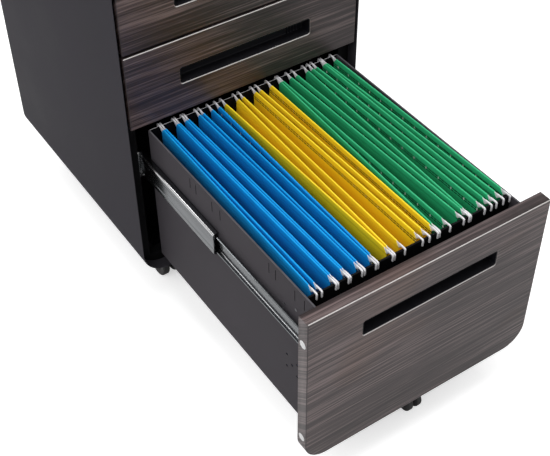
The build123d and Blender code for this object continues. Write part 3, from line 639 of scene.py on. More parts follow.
def rounded_rectangle(width: float, height: float, radii: float | Sequence[float],
                      steps: int = 8) -> tuple[np.ndarray, np.ndarray]:
    """A closed outline: a quarter circle at each corner, joined by straight sides.

    Args:
        width: full width.
        height: full height.
        radii: one corner radius, or four, anticlockwise from the upper right.
        steps: spans in each quarter.

    Returns:
        Points and outward normals, each 4 * (steps + 1) x 2.
    """
    normal = np.stack([arc(first, first + 90.0, steps + 1) for first in (0.0, 90.0, 180.0, 270.0)])
    signs = np.array([(1, 1), (-1, 1), (-1, -1), (1, -1)], float)
    radius = np.broadcast_to(radii, 4)[:, None]
    centre = signs * (np.array([width, height]) / 2 - radius)
    points = centre[:, None, :] + radius[:, None] * normal
    return points.reshape(-1, 2), normal.reshape(-1, 2)


def stations(loops: Sequence[tuple[np.ndarray, float]], centre: Sequence[float]) -> np.ndarray:
    """A grid of closed outlines, each in X and Z about a centre, and at its own Y."""
    return np.array([np.stack([loop[:, 0] + centre[0], np.full(len(loop), y), loop[:, 1] + centre[2]], -1)
                     for loop, y in loops])


def lathe(profile: Sequence[tuple[float, float]], centre: Sequence[float], axis: str = "X",
          turns: int = 48, facing: float = 1.0) -> np.ndarray:
    """Turn a profile about an axis through a point.

    Args:
        profile: radius and distance along the axis.
        centre: the point on the axis that distances count from.
        axis: X or Y.
        turns: spans round the circle.
        facing: 1 or -1, which way distances run.
    """
    shape = np.asarray(profile, float)
    first, second = shape[:, :1] * arc(0.0, 360.0, turns + 1)[:-1].T[:, None]
    along = np.repeat(shape[:, 1:] * facing, turns, axis=1)
    order = (along, first, second) if axis == "X" else (first, along, second)
    return np.stack(order, -1) + np.asarray(centre, float)


def bent_strip(corners: Sequence[tuple[float, float]], radius: Sequence[float], thickness: float,
               steps: int = 5) -> np.ndarray:
    """The closed section of a folded strip: its middle line, with each corner rounded, offset both ways.

    Args:
        corners: the middle line's points.
        radius: the middle line's bend radius at each inner corner.
        thickness: the strip's thickness.
        steps: spans in each bend.

    Returns:
        Loop of points, one side and then the other side back.
    """
    line = np.asarray(corners, float)
    runs = np.diff(line, axis=0)
    runs /= np.linalg.norm(runs, axis=1, keepdims=True)
    before, after, knee = runs[:-1], runs[1:], line[1:-1]
    turn = np.arccos(np.clip((before * after).sum(1), -1, 1))
    cut = (np.asarray(radius) * np.tan(turn / 2))[:, None]
    start, end = knee - before * cut, knee + after * cut
    t = np.linspace(0.0, 1.0, steps + 1)[None, :, None]
    pull = 2 * t * (1 - t) * np.cos(turn / 2)[:, None, None]
    bend = (1 - t) ** 2 * start[:, None] + pull * knee[:, None] + t ** 2 * end[:, None]
    bend /= (1 - t) ** 2 + pull + t ** 2
    path = np.vstack([line[:1], bend.reshape(-1, 2), line[-1:]])
    slope = np.gradient(path, axis=0)
    slope /= np.linalg.norm(slope, axis=1, keepdims=True)
    across = np.stack([-slope[:, 1], slope[:, 0]], -1) * thickness / 2
    return np.vstack([path + across, (path - across)[::-1]])


def merged_copy(node: str, name: str, slot: Slot, body: str, level: float = 0.0) -> Piece:
    """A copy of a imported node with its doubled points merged; the arguments are make_piece's."""
    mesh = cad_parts[node].data.copy()
    mesh.name = name
    return make_piece(mesh, name, slot, body, node, level=level)


def mark_faces(piece: Piece, value: Callable[[np.ndarray, np.ndarray], np.ndarray]) -> None:
    """Mark faces, by their normals and middles: 1 for painted shade where no light comes, -1 for a painted
    highlight on an edge.
    """
    faces = piece.data.polygons
    normals, middles = np.empty((2, 3 * len(faces)))
    faces.foreach_get("normal", normals)
    faces.foreach_get("center", middles)
    marks = value(normals.reshape(-1, 3), middles.reshape(-1, 3)).astype(float)
    piece.data.attributes.new("painted_light_and_shade", "FLOAT", "FACE").data.foreach_set("value", marks)


def softened_copy(node: str, name: str, slot: Slot, body: str, width: float) -> None:
    """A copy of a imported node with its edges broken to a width, which stands for the node."""
    piece = merged_copy(node, name, slot, body, math.radians(0.6))
    broken = piece.modifiers.new("broken edges", "BEVEL")
    broken.width = width
    broken.segments = 2
    broken.limit_method = "ANGLE"
    broken.angle_limit = math.radians(40.0)
    broken.harden_normals = True


# Sub-assemblies


@dataclass
class Cabinet:
    """The wrapped body and the steel that stiffens it."""

    corner: float = 0.0405
    corner_steps: int = 16
    sheet: float = 0.001
    notch: tuple[float, float] = (0.004, 0.036)
    notch_depth: float = 0.021

    def section(self, depth: float) -> np.ndarray:
        """The wall's section, a long slot shape: distance from the front and inset from the outside."""
        half = self.sheet / 2
        turned = half * arc(-90.0, 90.0, 7)
        return np.vstack([np.array([depth - half, half]) + turned, half - turned])

    def wrap(self) -> None:
        """Carry the wall's section round the outline. Under the drawers the front lip steps back over
        a notch, where the anti-tip wheel goes in."""
        low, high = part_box("shell")
        middle = middle_of("shell")
        height, depth = high.z - low.z, high.y - low.y
        loop, normal = rounded_rectangle(high.x - low.x, height, self.corner, self.corner_steps)
        start = 3 * (self.corner_steps + 1)
        under = np.stack([np.repeat(self.notch, 2), np.full(4, -height / 2)], -1)
        loop = np.insert(loop, start, under, axis=0)
        normal = np.insert(normal, start, np.array([[0.0, -1.0]] * 4), axis=0)
        back = np.zeros(len(loop))
        back[start + 1:start + 3] = self.notch_depth
        section = self.section(depth)
        at_front = section[:, 0] < depth / 2
        place = loop - section[:, 1][:, None, None] * normal
        y = low.y + section[:, :1] + at_front[:, None] * back
        points = np.stack([place[..., 0] + middle[0], y, place[..., 1] + middle[2]], -1)
        Surface().grid(points, ring=True).build("shell_wrap", Slot.BODY, "cabinet", "shell", sharp=50.0)

    def build(self) -> None:
        """Wrap the body and finish what is in it."""
        self.wrap()
        dress_nodes(Slot.BODY, "rear_panel")
        dress_nodes(Slot.FRAME, "front_frame", "slide_uprights", "cross_rails", "base_channels")
        dress_nodes(Slot.SCREWS, "cabinet_screws")
        dress_nodes(Slot.CASTOR_STEEL, "castor_plates")


@dataclass
class DrawerFront:
    """A laminated board with its grip slot and the plastic pocket in it."""

    drawer: str
    lower_radius: float = 0.0012
    upper_radius: float = 0.0012
    corner_steps: int = 14
    break_edge: float = 0.0008
    line_width: float = 0.0002
    line_fade: float = 0.0002
    back_edge: float = 0.0003
    back_gap: float = 0.00005
    slot_radius: float = 0.004
    slot_length: float = 0.215
    slot_height: float = 0.026
    slot_end_shine: float = 0.15
    pocket_wall: float = 0.0015
    pocket_bowl: float = 0.0018
    rim_sunk: float = 0.0004
    rib_count: int = 5
    rib_width: float = 0.0012
    rib_round: float = 0.0004
    rib_pitch: float = 0.005
    rib_proud: float = 0.0016

    def board(self) -> None:
        """A closed ring of outlines: in through the slot, over its broken edge, out across the face,
        over the outer edge, along the side and back across the rear face."""
        node = f"{self.drawer}_front"
        low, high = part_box(node)
        middle, slot = middle_of(node), middle_of(f"{self.drawer}_grip_pocket")
        width, height = high.x - low.x, high.z - low.z
        edge, front, back = self.break_edge, low.y, high.y - self.back_gap
        radii = [self.upper_radius] * 2 + [self.lower_radius] * 2
        outer, out = rounded_rectangle(width, height, radii, self.corner_steps)
        inner, into = rounded_rectangle(self.slot_length, self.slot_height, self.slot_radius,
                                        self.corner_steps)
        inner = inner + np.array([slot[0] - middle[0], slot[2] - middle[2]])
        # Edge marks: a painted highlight on the slot's lower edge and right end and on the upper outer edge,
        # painted shade on the left outer edge.
        lit = np.clip(-into[:, 1], 0, 1) ** 2 + self.slot_end_shine * np.clip(into[:, 0], 0, 1) ** 2
        rim = np.clip(out[:, 1], 0, 1) ** 2 - np.clip(-out[:, 0], 0, 1) ** 2
        none = 0.0 * lit
        curve = edge * (1 - arc(0.0, 90.0, 4))
        line_end = edge + self.line_width
        faded = line_end + self.line_fade
        rings = [(inner, back, none)]
        rings += [(inner + into * away, front + deep, lit) for away, deep in curve]
        rings += [(inner + into * line_end, front, lit), (inner + into * faded, front, none)]
        for away, mark in ((faded, none), (line_end, rim)):
            shrunk = [max(radius - away, 0.0001) for radius in radii]
            inset = rounded_rectangle(width - 2 * away, height - 2 * away, shrunk, self.corner_steps)[0]
            rings.append((inset, front, mark))
        rings += [(outer - out * away, front + deep, rim) for away, deep in curve[::-1]]
        rings += [(outer, front + edge + self.line_fade, none), (outer, back - self.back_edge, none),
                  (outer - out * self.back_edge, back, none)]
        points = stations([ring[:2] for ring in rings], middle)
        Surface().grid(points, ring=True, cut_edge=np.array([ring[2] for ring in rings])).build(
            f"{node}_board", Slot.LAMINATE, f"{self.drawer}_drawer", node, sharp=60.0)

    def pocket(self) -> None:
        """Outlines from the middle of the back, out over the rim and in to the middle of the cup, with
        ribs across the cup's right end."""
        node = f"{self.drawer}_grip_pocket"
        low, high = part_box(node)
        centre = middle_of(node)
        wall = self.pocket_wall
        front, floor = low.y + self.rim_sunk, high.y - wall
        outer, normal = rounded_rectangle(high.x - low.x, high.z - low.z, self.slot_radius)
        inside = outer - normal * wall
        loops = [(outer * 0.0, high.y), (outer, high.y)]
        loops += [(outer - normal * away, front + deep)
                  for away, deep in wall / 2 * (1 - arc(0.0, 180.0, 7))]
        loops += [(inside - normal * away, floor - deep)
                  for away, deep in self.pocket_bowl * (1 - arc(0.0, 90.0, 5))]
        loops.append((outer * 0.0, floor))
        surface = Surface().grid(stations(loops, centre))
        shape, away = rounded_rectangle(self.rib_width, self.slot_height - 2 * wall, self.rib_round, 2)
        crest = floor - self.rib_proud
        rib = [(shape * 0.0, floor), (shape, floor), (shape, crest + self.rib_round),
               (shape - away * self.rib_round, crest), (shape * 0.0, crest)]
        end = centre[0] + self.slot_length / 2 - self.slot_radius
        for number in range(1, self.rib_count + 1):
            surface.grid(stations(rib, (end - number * self.rib_pitch, 0.0, centre[2])))
        surface.build(f"{self.drawer}_grip_cup", Slot.POCKET, f"{self.drawer}_drawer", node, sharp=50.0)

    def build(self) -> None:
        """Make the board and its pocket."""
        self.board()
        self.pocket()


@dataclass
class DrawerBox:
    """A box drawer's steel tray with its end walls."""

    drawer: str

    def build(self) -> None:
        """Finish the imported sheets."""
        dress_nodes(Slot.DRAWER, *(f"{self.drawer}_{wall}" for wall in ("tray", "back", "inner_front")))


@dataclass
class FileBox:
    """The file drawer's steel box: slits and holes in its sides, and a back wall with a painted highlight on
    its upper edge.
    """

    sheet: float = 0.001
    rim: float = 0.003

    def build(self) -> None:
        """Copy the sheets that show such marks, and finish the front wall."""
        dress_nodes(Slot.DRAWER, "file_inner_front")
        corner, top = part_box("file_tray")[1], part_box("file_back")[1].z

        def in_wall(normals: np.ndarray, middles: np.ndarray) -> np.ndarray:
            """The faces across a side's thickness, below its rim, which get painted shade."""
            depth = corner.x - abs(middles[:, 0])
            across = (abs(normals[:, 0]) < 0.3) & (depth > 0.02 * self.sheet) & (depth < 0.98 * self.sheet)
            return across & (middles[:, 2] < corner.z - self.rim)

        def on_edge(normals: np.ndarray, middles: np.ndarray) -> np.ndarray:
            """The back wall's upper edge, which gets a painted highlight."""
            return -1.0 * ((normals[:, 2] > 0.9) & (middles[:, 2] > top - 0.1 * self.sheet))

        # The walls of the slits and holes get painted shade, near black.
        mark_faces(merged_copy("file_tray", "file_tray_sheet", Slot.DRAWER, "file_drawer"), in_wall)
        # The back wall takes the near-black frame paint as painted shade, with a painted highlight on its
        # upper edge.
        mark_faces(merged_copy("file_back", "file_back_wall", Slot.FRAME, "file_drawer"), on_edge)


@dataclass
class EdgeCaps:
    """The white caps in the side edges of the file front: shallow domes with a stepped rim."""

    radius: float = 0.006
    dome: float = 0.0005
    rim: float = 0.0007
    plug: float = 0.0014
    proud: float = 0.0001

    def build(self) -> None:
        """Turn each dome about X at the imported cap's middle."""
        low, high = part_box("file_front_caps")
        inner, radius, proud = self.radius - self.rim, self.radius, self.proud
        profile = [(0.0, -self.plug), (radius, -self.plug), (radius, proud), (inner + 2 * proud, 3 * proud),
                   (inner, proud)]
        profile += [(inner * across, proud + self.dome * up) for across, up in arc(0.0, 90.0, 6)[1:]]
        surface = Surface()
        for z in (low.z + radius, high.z - radius):
            for side, face in ((Side.LEFT, low.x), (Side.RIGHT, high.x)):
                surface.grid(lathe(profile, (face, low.y + radius, z), turns=40, facing=side.value))
        surface.build("file_front_white_caps", Slot.CAP, "file_drawer", "file_front_caps")


@dataclass
class BallSlides:
    """The pairs of telescopic slides: three rolled channels one in the other."""

    drawer: str
    stages: tuple[tuple[str, float, float, float], ...] = (
        ("outers", 0.0, 0.011, 0.0004), ("middles", 0.0032, 0.0122, 0.0004),
        ("inners", 0.013, 0.0066, 0.001))
    post: float = 0.175
    sheet: float = 0.0014
    bend: float = 0.0022
    groove_share: float = 0.5
    step: float = 0.0006
    end_chamfer: float = 0.0004
    end_taper: float = 0.995926
    curl: float = 0.0004
    hook: float = 0.0012
    hook_bend: float = 0.001
    shine: float = 1.4

    def member(self, stage: str, web: float, lip: float, groove: float) -> None:
        """Carry a folded strip's section along the slide, once on each side.

        Args:
            stage: outers, middles or inners.
            web: distance of the web's outer face from the upright.
            lip: distance of the flanges' ends from the upright.
            groove: how deep the web's middle is pressed in.
        """
        node = f"{self.drawer}_slide_{stage}"
        low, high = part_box(node)
        half = (high.z - low.z) / 2 - self.sheet / 2
        toward = 1.0 if lip > web else -1.0
        back = web + toward * self.sheet / 2
        rib = self.groove_share * half
        upper = [(lip, half - self.curl), (lip - toward * self.hook, half), (back, half),
                 (back, rib + self.step), (back + toward * groove, rib - self.step)]
        lower = [(t, -z) for t, z in reversed(upper)]
        radii = [self.hook_bend, self.bend, self.step, self.step]
        section = bent_strip(upper + lower, radii + radii[::-1], self.sheet)
        # The bend mark is a painted highlight on the bends between the web and the flanges.
        rise = np.clip((abs(section[:, 1]) - half + self.bend) * 2 / self.bend, 0, 1)
        folded = np.clip(self.shine * rise * np.clip(1 - abs(section[:, 0] - back) / self.bend, 0, 1), 0, 1)
        ends = np.array([low.y, low.y + self.end_chamfer, high.y - self.end_chamfer, high.y])
        taper = np.array([self.end_taper, 1.0, 1.0, self.end_taper])
        t, y, z = np.broadcast_arrays(section[:, 0], ends[:, None], section[:, 1] * taper[:, None])
        surface = Surface()
        for side in Side:
            points = np.stack([side.value * (self.post - t), y, z + middle_of(node)[2]], -1)
            surface.grid(points, strips=1, bend=np.tile(folded, (len(ends), 1)))
        fixed = {"outers": "cabinet", "inners": f"{self.drawer}_drawer"}
        surface.build(f"{self.drawer}_rolled_{stage}", Slot.ZINC, fixed.get(stage, node), node)

    def build(self) -> None:
        """Make the members and finish the ball cages."""
        for stage in self.stages:
            self.member(*stage)
        dress_nodes(Slot.BALLS, *(f"{self.drawer}_slide_{cage}" for cage in ("outer_cages", "inner_cages")))


@dataclass(frozen=True)
class Hanging:
    """Where a folder hangs: its middle and opening at the front rail and at the rear rail."""

    front: float
    front_open: float
    rear: float
    rear_open: float
    punched: bool


@dataclass
class FolderRow:
    """The hanging folders of one colour, and their rods.

    Each wave has its size, its turns over the length and its share of the phase. Three tables are in
    millimetres: tip has rows of height and half thickness; gusset has rows of distance inwards,
    added depth, how far the top is sunk, and half width; hem_drops are levels below the top.
    """

    colour: Slot
    node: str
    places: tuple[Hanging, ...]
    first: int
    rail_front: float = -0.3843
    rail_rear: float = -0.002
    card_front: float = -0.3753
    card_rear: float = -0.011
    foot: float = 0.1013
    rod_top: float = 0.3393
    card: float = 0.0006
    hem_half: float = 0.00115
    hem_height: float = 0.009
    hem_soft: float = 0.0004
    bow: float = 0.42
    sway: float = 0.0011
    sway_phase: float = 1.7
    waves: tuple[tuple[float, float, float], ...] = ((1.0, 1.1, 1.0), (0.5, 2.3, 2.1))
    notch: float = 0.006
    notch_from: float = 0.955
    notch_spans: int = 12
    lengths: int = 49
    flap_rows: int = 16
    flap_end: float = 0.03
    arm: float = 0.003
    tip_bottom: float = 0.3273
    tip_reach: float = 0.003
    bend: float = 0.0017
    bend_points: int = 7
    rod_half: float = 0.0012
    rod_facets: int = 12
    tip: tuple[tuple[float, float], ...] = ((0.0, 0.5), (0.3, 0.9), (0.9, 1.25), (1.8, 1.35))
    gusset: tuple[tuple[float, float, float, float], ...] = (
        (1.2, 0.0, 0.0, 1.2), (2.5, 0.0, 0.0, 1.15), (3.6, 0.2, 0.0, 1.1), (4.6, 1.1, 0.0, 1.05),
        (5.8, 2.4, 0.0, 1.0), (7.2, 4.0, 0.0, 0.95), (8.7, 5.6, 0.0, 0.9), (9.4, 4.6, 0.4, 0.6),
        (10.6, 4.6, 0.4, 0.6))
    hem_drops: tuple[float, ...] = (
        24, 19, 15, 12, 10.4, 9.8, 9.4, 9, 8.6, 8, 6, 4, 2, 1.1, 0.6, 0.3, 0.1, 0)

    def flap_line(self, levels: np.ndarray) -> tuple[np.ndarray, np.ndarray]:
        """A flap from 0 at the fold to 1 at the top: its share of the opening, with a bow that is widest
        at mid height, and its half thickness, thin card that swells over the rod within the hem."""
        opening = levels + self.bow * levels * (1 - levels)
        drop = (1 - levels) * (self.rod_top - self.foot)
        swell = 1 / (1 + np.exp((drop - self.hem_height) / self.hem_soft))
        half = self.card / 2 + (self.hem_half - self.card / 2) * swell
        top = np.sqrt(1 - np.clip(1 - drop / self.hem_half, 0, 1) ** 2)
        return opening, half * np.where(drop < self.hem_half, top, 1.0)

    def folder(self, place: Hanging, seed: int) -> Surface:
        """One folder as a closed section carried from its front edge to its rear one.

        The section runs up the left flap's outer face, down its inner face, up the right flap's inner
        face and down its outer one. Both flaps sway together: a sum of two sines along the length,
        times a half sine over the height.

        Args:
            place: where it hangs.
            seed: picks the phase of its sway.
        """
        height, length = self.rod_top - self.foot, self.card_rear - self.card_front
        hem = np.array(self.hem_drops) / 1000
        drops = np.concatenate([np.linspace(height, self.flap_end, self.flap_rows), hem])
        levels = 1 - drops / height
        share, thick, level = (np.concatenate([run, run[::-1]] * 2)
                               for run in (*self.flap_line(levels), levels))
        flap = np.repeat([-1.0, -1.0, 1.0, 1.0], len(levels))
        outward = np.repeat([-1.0, 1.0, -1.0, 1.0], len(levels))
        along = np.linspace(0.0, 1.0, self.lengths)[:, None]
        y = self.card_front + along * length
        rail = (y - self.rail_front) / (self.rail_rear - self.rail_front)
        middle = place.front + rail * (place.rear - place.front)
        gap = place.front_open + rail * (place.rear_open - place.front_open)
        phase = self.sway_phase * seed
        wave = sum(size * np.sin(2 * math.pi * (turns * along + share_of * phase))
                   for size, turns, share_of in self.waves)
        x = middle + flap * gap / 2 * share + outward * thick
        x = x + self.sway * wave * np.sin(math.pi * level) ** 1.2
        taper = self.notch * np.clip((level - self.notch_from) / (1 - self.notch_from), 0, 1) ** 1.5
        ends = (np.clip(1 - self.notch_spans * run, 0, 1) for run in (along, 1 - along))
        y = y + taper * np.subtract(*ends)
        punched = place.punched * ((flap > 0) & (outward < 0))
        points = np.stack(np.broadcast_arrays(x, y, self.foot + level * height), -1)
        flap_place = np.stack(np.broadcast_arrays(along * length, (1 - level) * height, punched), -1)
        return Surface().grid(points, strips=2, flap_place=flap_place)

    def rod_stations(self) -> tuple[np.ndarray, ...]:
        """One end of a rod, from its tip up round the bend and down the gusset to the hem: the middle
        line as distance inwards and height, its direction, and the section's half height and width."""
        arm_half = self.arm / 2
        rise, thin = np.array(self.tip).T / 1000
        inward, deep, sunk, wide = np.array(self.gusset).T / 1000
        turned = arc(180.0, 90.0, self.bend_points)
        knee = np.array([self.bend - self.tip_reach, self.rod_top - arm_half - self.bend])
        half = arm_half + deep / 2
        line = np.vstack([np.stack([np.full(len(rise), -self.tip_reach), self.tip_bottom + rise], -1),
                          knee + self.bend * turned, np.stack([inward, self.rod_top - sunk - half], -1)])
        slope = np.vstack([np.tile((0.0, 1.0), (len(rise), 1)), turned[:, ::-1] * (1.0, -1.0),
                           np.tile((1.0, 0.0), (len(inward), 1))])
        tall = np.concatenate([thin, np.full(self.bend_points, arm_half), half])
        return line, slope, tall, np.concatenate([thin, np.full(self.bend_points, self.rod_half), wide])

    def rods(self) -> None:
        """The flat rods of this colour's folders: a rounded section, upright on the middle line of
        their side view, mirrored to the far end and turned to each flap's own line."""
        surface = Surface()
        half_span = (self.rail_rear - self.rail_front) / 2
        line, slope, tall, wide = self.rod_stations()
        circle = arc(0.0, 360.0, self.rod_facets + 1)[:-1].T
        ring = np.sign(circle) * np.abs(circle) ** 0.7
        across, lift = wide[:, None] * ring[0], tall[:, None] * ring[1]
        run = line[:, :1] - half_span - slope[:, 1:] * lift
        rise = line[:, 1:] + slope[:, :1] * lift
        run, rise, across = (np.vstack([part, sign * part[::-1]])
                             for part, sign in ((run, -1), (rise, 1), (across, 1)))
        for place in self.places:
            for flap in (-1.0, 1.0):
                front = place.front + flap * place.front_open / 2
                rear = place.rear + flap * place.rear_open / 2
                yaw = math.atan2(rear - front, 2 * half_span)
                x = (front + rear) / 2 + run * math.sin(yaw) + across * math.cos(yaw)
                y = (self.rail_front + self.rail_rear) / 2 + run * math.cos(yaw) - across * math.sin(yaw)
                grid = np.stack([x, y, rise], -1)
                first, last = (np.repeat(end.mean(1, keepdims=True), self.rod_facets, 1)
                               for end in (grid[:1], grid[-1:]))
                surface.grid(np.concatenate([first, grid, last]))
        surface.build(f"{self.node}_hooked_rods", Slot.RODS, "file_drawer", "folder_rods", sharp=60.0)

    def build(self) -> None:
        """Make each folder and the rods."""
        for number, place in enumerate(self.places):
            self.folder(place, self.first + number).build(
                f"{self.node}_{number + 1}", self.colour, "file_drawer", self.node, sharp=50.0)
        self.rods()


@dataclass
class Wheels:
    """A pair of moulded wheels, with their axle unless that is a node of its own."""

    node: str
    radius: float
    width: float
    web: float
    round_edge: float
    hub: float
    axle: float
    with_axle: bool = True
    gap: float = 0.0006
    dish: tuple[tuple[float, float], ...] = (
        (0.55, 0.0004), (0.62, 0.001), (0.7, 0.0022), (1.0, 0.0024), (1.05, 0.0008), (1.12, 0.0003))

    def profile(self) -> list[tuple[float, float]]:
        """Half a wheel's section from its axle, over its outer face and tread, to its inner face and
        back: radius against distance outwards. The dish's rows are a share of the hub and a depth."""
        w, e, shoulder = self.width, self.round_edge, self.radius - self.round_edge
        quarter = e * arc(0.0, 90.0, 5)
        start = (self.axle, w - self.dish[0][1])
        face = [start] + [(self.hub * share, w - deep) for share, deep in self.dish]
        face.append((shoulder - 0.0006, w - 0.0001))
        face += [(shoulder + up, w - e + along) for along, up in quarter]
        face += [(shoulder + up, e - along) for up, along in quarter]
        return face + [(self.axle, 0.0), start]

    def build(self) -> None:
        """Turn both wheels, and the axle between them, about X."""
        x, y, z = middle_of(self.node)
        inner = self.web / 2 + self.gap
        surface = Surface()
        for side in Side:
            grid = lathe(self.profile(), (x + side.value * inner, y, z), turns=56, facing=side.value)
            rolling = np.hypot(grid[..., 1] - y, grid[..., 2] - z) > self.radius - self.round_edge * 0.8
            surface.grid(grid, tread=rolling)
        if self.with_axle:
            half = inner + self.width
            pin = [(0.0, -half), (self.axle, -half + 0.0003), (self.axle, half - 0.0003), (0.0, half)]
            grid = lathe(pin, (x, y, z), turns=24)
            surface.grid(grid, tread=0.0 * grid[..., 0])
        surface.build(self.node + "_moulded", Slot.WHEEL, self.node, self.node, sharp=40.0)


@dataclass
class Castors:
    """The four twin-wheel castors."""

    ends: tuple[str, ...] = ("front", "rear")

    def build(self) -> None:
        """Make each castor's wheels and soften its housing."""
        for end in self.ends:
            for side in Side:
                tag = f"{end}_{side.name.lower()}"
                Wheels(f"castor_wheels_{tag}", 0.025, 0.012, 0.009, 0.0025, 0.014, 0.003).build()
                softened_copy(f"castor_hood_{tag}", f"castor_housing_{tag}", Slot.CASTOR_BODY,
                              f"castor_{tag}", 0.0006)


@dataclass
class AntiTip:
    """The bracket and rollers under the file front."""

    def build(self) -> None:
        """Soften the bracket, turn the rollers and finish the pin."""
        softened_copy("fifth_wheel_bracket", "anti_tip_bracket", Slot.FRAME, "file_drawer", 0.0004)
        Wheels("fifth_wheels", 0.017, 0.009, 0.005, 0.002, 0.009, 0.00255, with_axle=False).build()
        dress_nodes(Slot.SCREWS, "fifth_wheel_axle")


@dataclass
class Lock:
    """The cam lock in the top front."""

    flange_radius: float = 0.011
    flange: float = 0.0015
    barrel: float = 0.008
    bore: float = 0.00555
    lip: float = 0.0004
    dome: float = 0.001125
    nut_chamfer: float = 0.0005
    nut_from: float = 0.0215
    nut_to: float = 0.0255

    def build(self) -> None:
        """Turn the barrel with its domed flange, and its nut, about Y, and finish the plug and cam."""
        low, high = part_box("lock_barrel")
        x, _, z = middle_of("lock_barrel")
        bore, barrel, flange, lip, wide = self.bore, self.barrel, self.flange, self.lip, self.flange_radius
        profile = [(bore, lip)]
        profile += [(bore + (wide - bore) * s, max(0.0, flange - lip - self.dome * (1 - s ** 2.5)))
                    for s in np.linspace(0.0, 1.0, 9)]
        profile += [(wide, flange), (barrel, flange), (barrel, high.y - low.y), (bore, high.y - low.y),
                    (bore, lip)]
        inner, first, last = wide - self.nut_chamfer, self.nut_from, self.nut_to
        nut = [(barrel, first), (inner, first), (wide, first + lip), (wide, last - lip), (inner, last),
               (barrel, last)]
        surface = Surface()
        for shape in (profile, nut):
            surface.grid(lathe(shape, (x, low.y, z), axis="Y"))
        surface.build("lock_barrel_turned", Slot.CHROME, "top_drawer", "lock_barrel")
        dress_nodes(Slot.CHROME, "lock_plug")
        dress_nodes(Slot.ZINC, "lock_cam")


# Studio


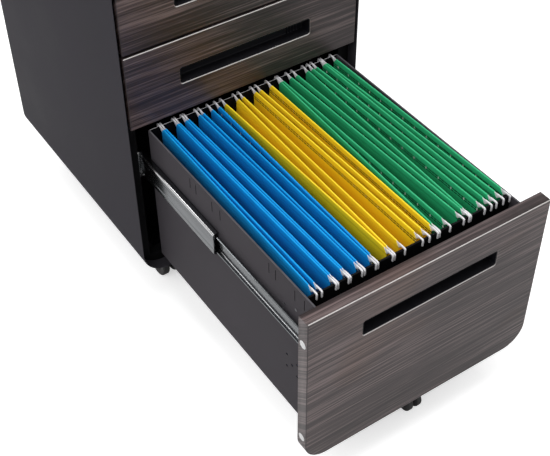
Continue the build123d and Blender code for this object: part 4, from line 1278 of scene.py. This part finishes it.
@dataclass
class Studio:
    """Pale floor, soft lamps and the camera at the photograph's view. Each lamp has its place, what
    it faces, its side and its power."""

    place: tuple[float, float, float] = (-0.67850, -1.10565, 1.30131)
    turn: float = 33.318
    dip: float = 43.787
    roll: float = 0.674
    focal_pixels: float = 1108.92
    floor_half: float = 7.0
    floor_white: float = 0.9
    floor_glow: float = 0.55
    world_strength: float = 0.42
    lamps: tuple[tuple, ...] = (
        ("ceiling", (0.0, -0.3, 2.7), (0.0, -0.1, 0.3), 1.4, 26.0),
        ("left window", (-1.7, -0.8, 2.2), (0.0, -0.1, 0.3), 1.4, 22.0),
        ("front fill", (0.9, -2.9, 1.5), (0.0, -0.2, 0.25), 1.8, 9.0),
        ("back edge", (-0.7, 1.8, 2.3), (-0.1, -0.2, 0.3), 1.0, 14.0))

    def add(self, name: str, data: bpy.types.ID) -> Piece:
        """Put an object with its data in the scene."""
        thing = bpy.data.objects.new(name, data)
        bpy.context.scene.collection.objects.link(thing)
        return thing

    def camera(self) -> None:
        """Set a camera that looks along +Y, rolled about its view, dipped and turned clockwise."""
        data = bpy.data.cameras.new("photo view")
        data.sensor_width = SENSOR * 1000
        data.lens = self.focal_pixels / PHOTO_WIDTH * SENSOR * 1000
        data.clip_end = 60.0
        eye = self.add("photo view", data)
        eye.matrix_world = Matrix.Translation(self.place)
        for axis, angle in (("Z", -self.turn), ("X", 90 - self.dip), ("Z", -self.roll)):
            eye.matrix_world = eye.matrix_world @ Matrix.Rotation(math.radians(angle), 4, axis)
        bpy.context.scene.camera = eye

    def lights(self) -> None:
        """Hang each soft lamp."""
        for name, place, target, side, power in self.lamps:
            data = bpy.data.lights.new(name, "AREA")
            data.shape = "SQUARE"
            data.size = side
            data.energy = power
            lamp = self.add(name, data)
            lamp.location = place
            lamp.rotation_euler = (Vector(target) - Vector(place)).to_track_quat("-Z", "Y").to_euler()

    def world(self) -> None:
        """A plain pale world, white where the camera sees it, also through glass."""
        world = bpy.data.worlds.new("studio")
        nodes = Nodes.emptied(world)
        path = nodes.add("LightPath").outputs
        seen = nodes.math("MAXIMUM", path["Is Camera Ray"], path["Is Transmission Ray"])
        strength = nodes.span(seen, 0.0, 1.0, self.world_strength, 1.0)
        back = nodes.add("Background", {"Color": (1.0, 1.0, 1.0, 1.0), "Strength": strength})
        nodes.add("OutputWorld", {"Surface": back.outputs[0]})
        bpy.context.scene.world = world

    def floor(self) -> None:
        """A white floor that keeps the object's soft shadow, and glows for the camera alone."""
        mesh = bpy.data.meshes.new("floor")
        half = self.floor_half
        corners = [(-half, -half, 0.0), (half, -half, 0.0), (-half, half, 0.0), (half, half, 0.0)]
        mesh.from_pydata(corners, [], [(0, 1, 3, 2)])
        material = bpy.data.materials.new("white floor")
        nodes = Nodes.emptied(material)
        matt = nodes.add("BsdfDiffuse", {"Color": (*[self.floor_white] * 3, 1.0)}).outputs[0]
        glow = nodes.add("Emission", {"Color": (1.0, 1.0, 1.0, 1.0), "Strength": self.floor_glow}).outputs[0]
        lit = nodes.add("AddShader", {0: matt, 1: glow}).outputs[0]
        seen = nodes.add("LightPath").outputs["Is Camera Ray"]
        shown = nodes.add("MixShader", {0: seen, 1: matt, 2: lit}).outputs[0]
        nodes.add("OutputMaterial", {"Surface": shown})
        mesh.materials.append(material)
        self.add("floor", mesh)

    def build(self) -> None:
        """Set up the view, the light and the floor."""
        self.camera()
        self.lights()
        self.world()
        self.floor()
        bpy.context.scene.view_settings.view_transform = "Standard"


def folder_rows() -> tuple[FolderRow, ...]:
    """The three colours of folders, left to right; each place in millimetres."""
    blue = ((-144.5, 7.6, -143.1, 3.4), (-118.4, 2.8, -120.6, 3.2), (-99.8, 2.8, -106.3, 3.8),
            (-79.0, 3.6, -83.1, 6.2), (-58.3, 3.2, -59.4, 12.0))
    yellow = ((-32.6, 3.0, -32.4, 21.0), (-0.9, 28.0, -2.7, 21.0), (30.7, 13.4, 25.7, 18.6))
    green = ((49.0, 17.0, 53.4, 3.2), (84.4, 9.2, 74.8, 10.6), (103.1, 23.2, 103.8, 8.8),
             (130.5, 8.4, 122.4, 14.6), (152.2, 11.0, 141.5, 17.6))
    unpunched = yellow[0]
    rows = []
    first = 1
    for slot, node, places in ((Slot.BLUE, "blue_folders", blue), (Slot.YELLOW, "yellow_folders", yellow),
                               (Slot.GREEN, "green_folders", green)):
        hung = tuple(Hanging(*(size / 1000 for size in place), place != unpunched) for place in places)
        rows.append(FolderRow(slot, node, hung, first))
        first += len(places)
    return tuple(rows)


def main() -> None:
    """Build the pedestal from its sub-assemblies, then the studio."""
    logging.basicConfig(level=logging.INFO, format="%(name)s: %(message)s")
    Cabinet().build()
    for drawer, rounded in (("file", {"lower_radius": 0.035}), ("middle", {}),
                            ("top", {"upper_radius": 0.035})):
        DrawerFront(drawer, **rounded).build()
        (FileBox() if drawer == "file" else DrawerBox(drawer)).build()
        BallSlides(drawer).build()
    EdgeCaps().build()
    # The rail takes the near-black frame paint as painted shade.
    softened_copy("hanging_rail", "hanging_rail_bar", Slot.FRAME, "file_drawer", 0.0004)
    dress_nodes(Slot.SCREWS, "file_drawer_screws")
    for row in folder_rows():
        row.build()
    Castors().build()
    AntiTip().build()
    Lock().build()
    Studio().build()


if __name__ == "__main__":
    main()
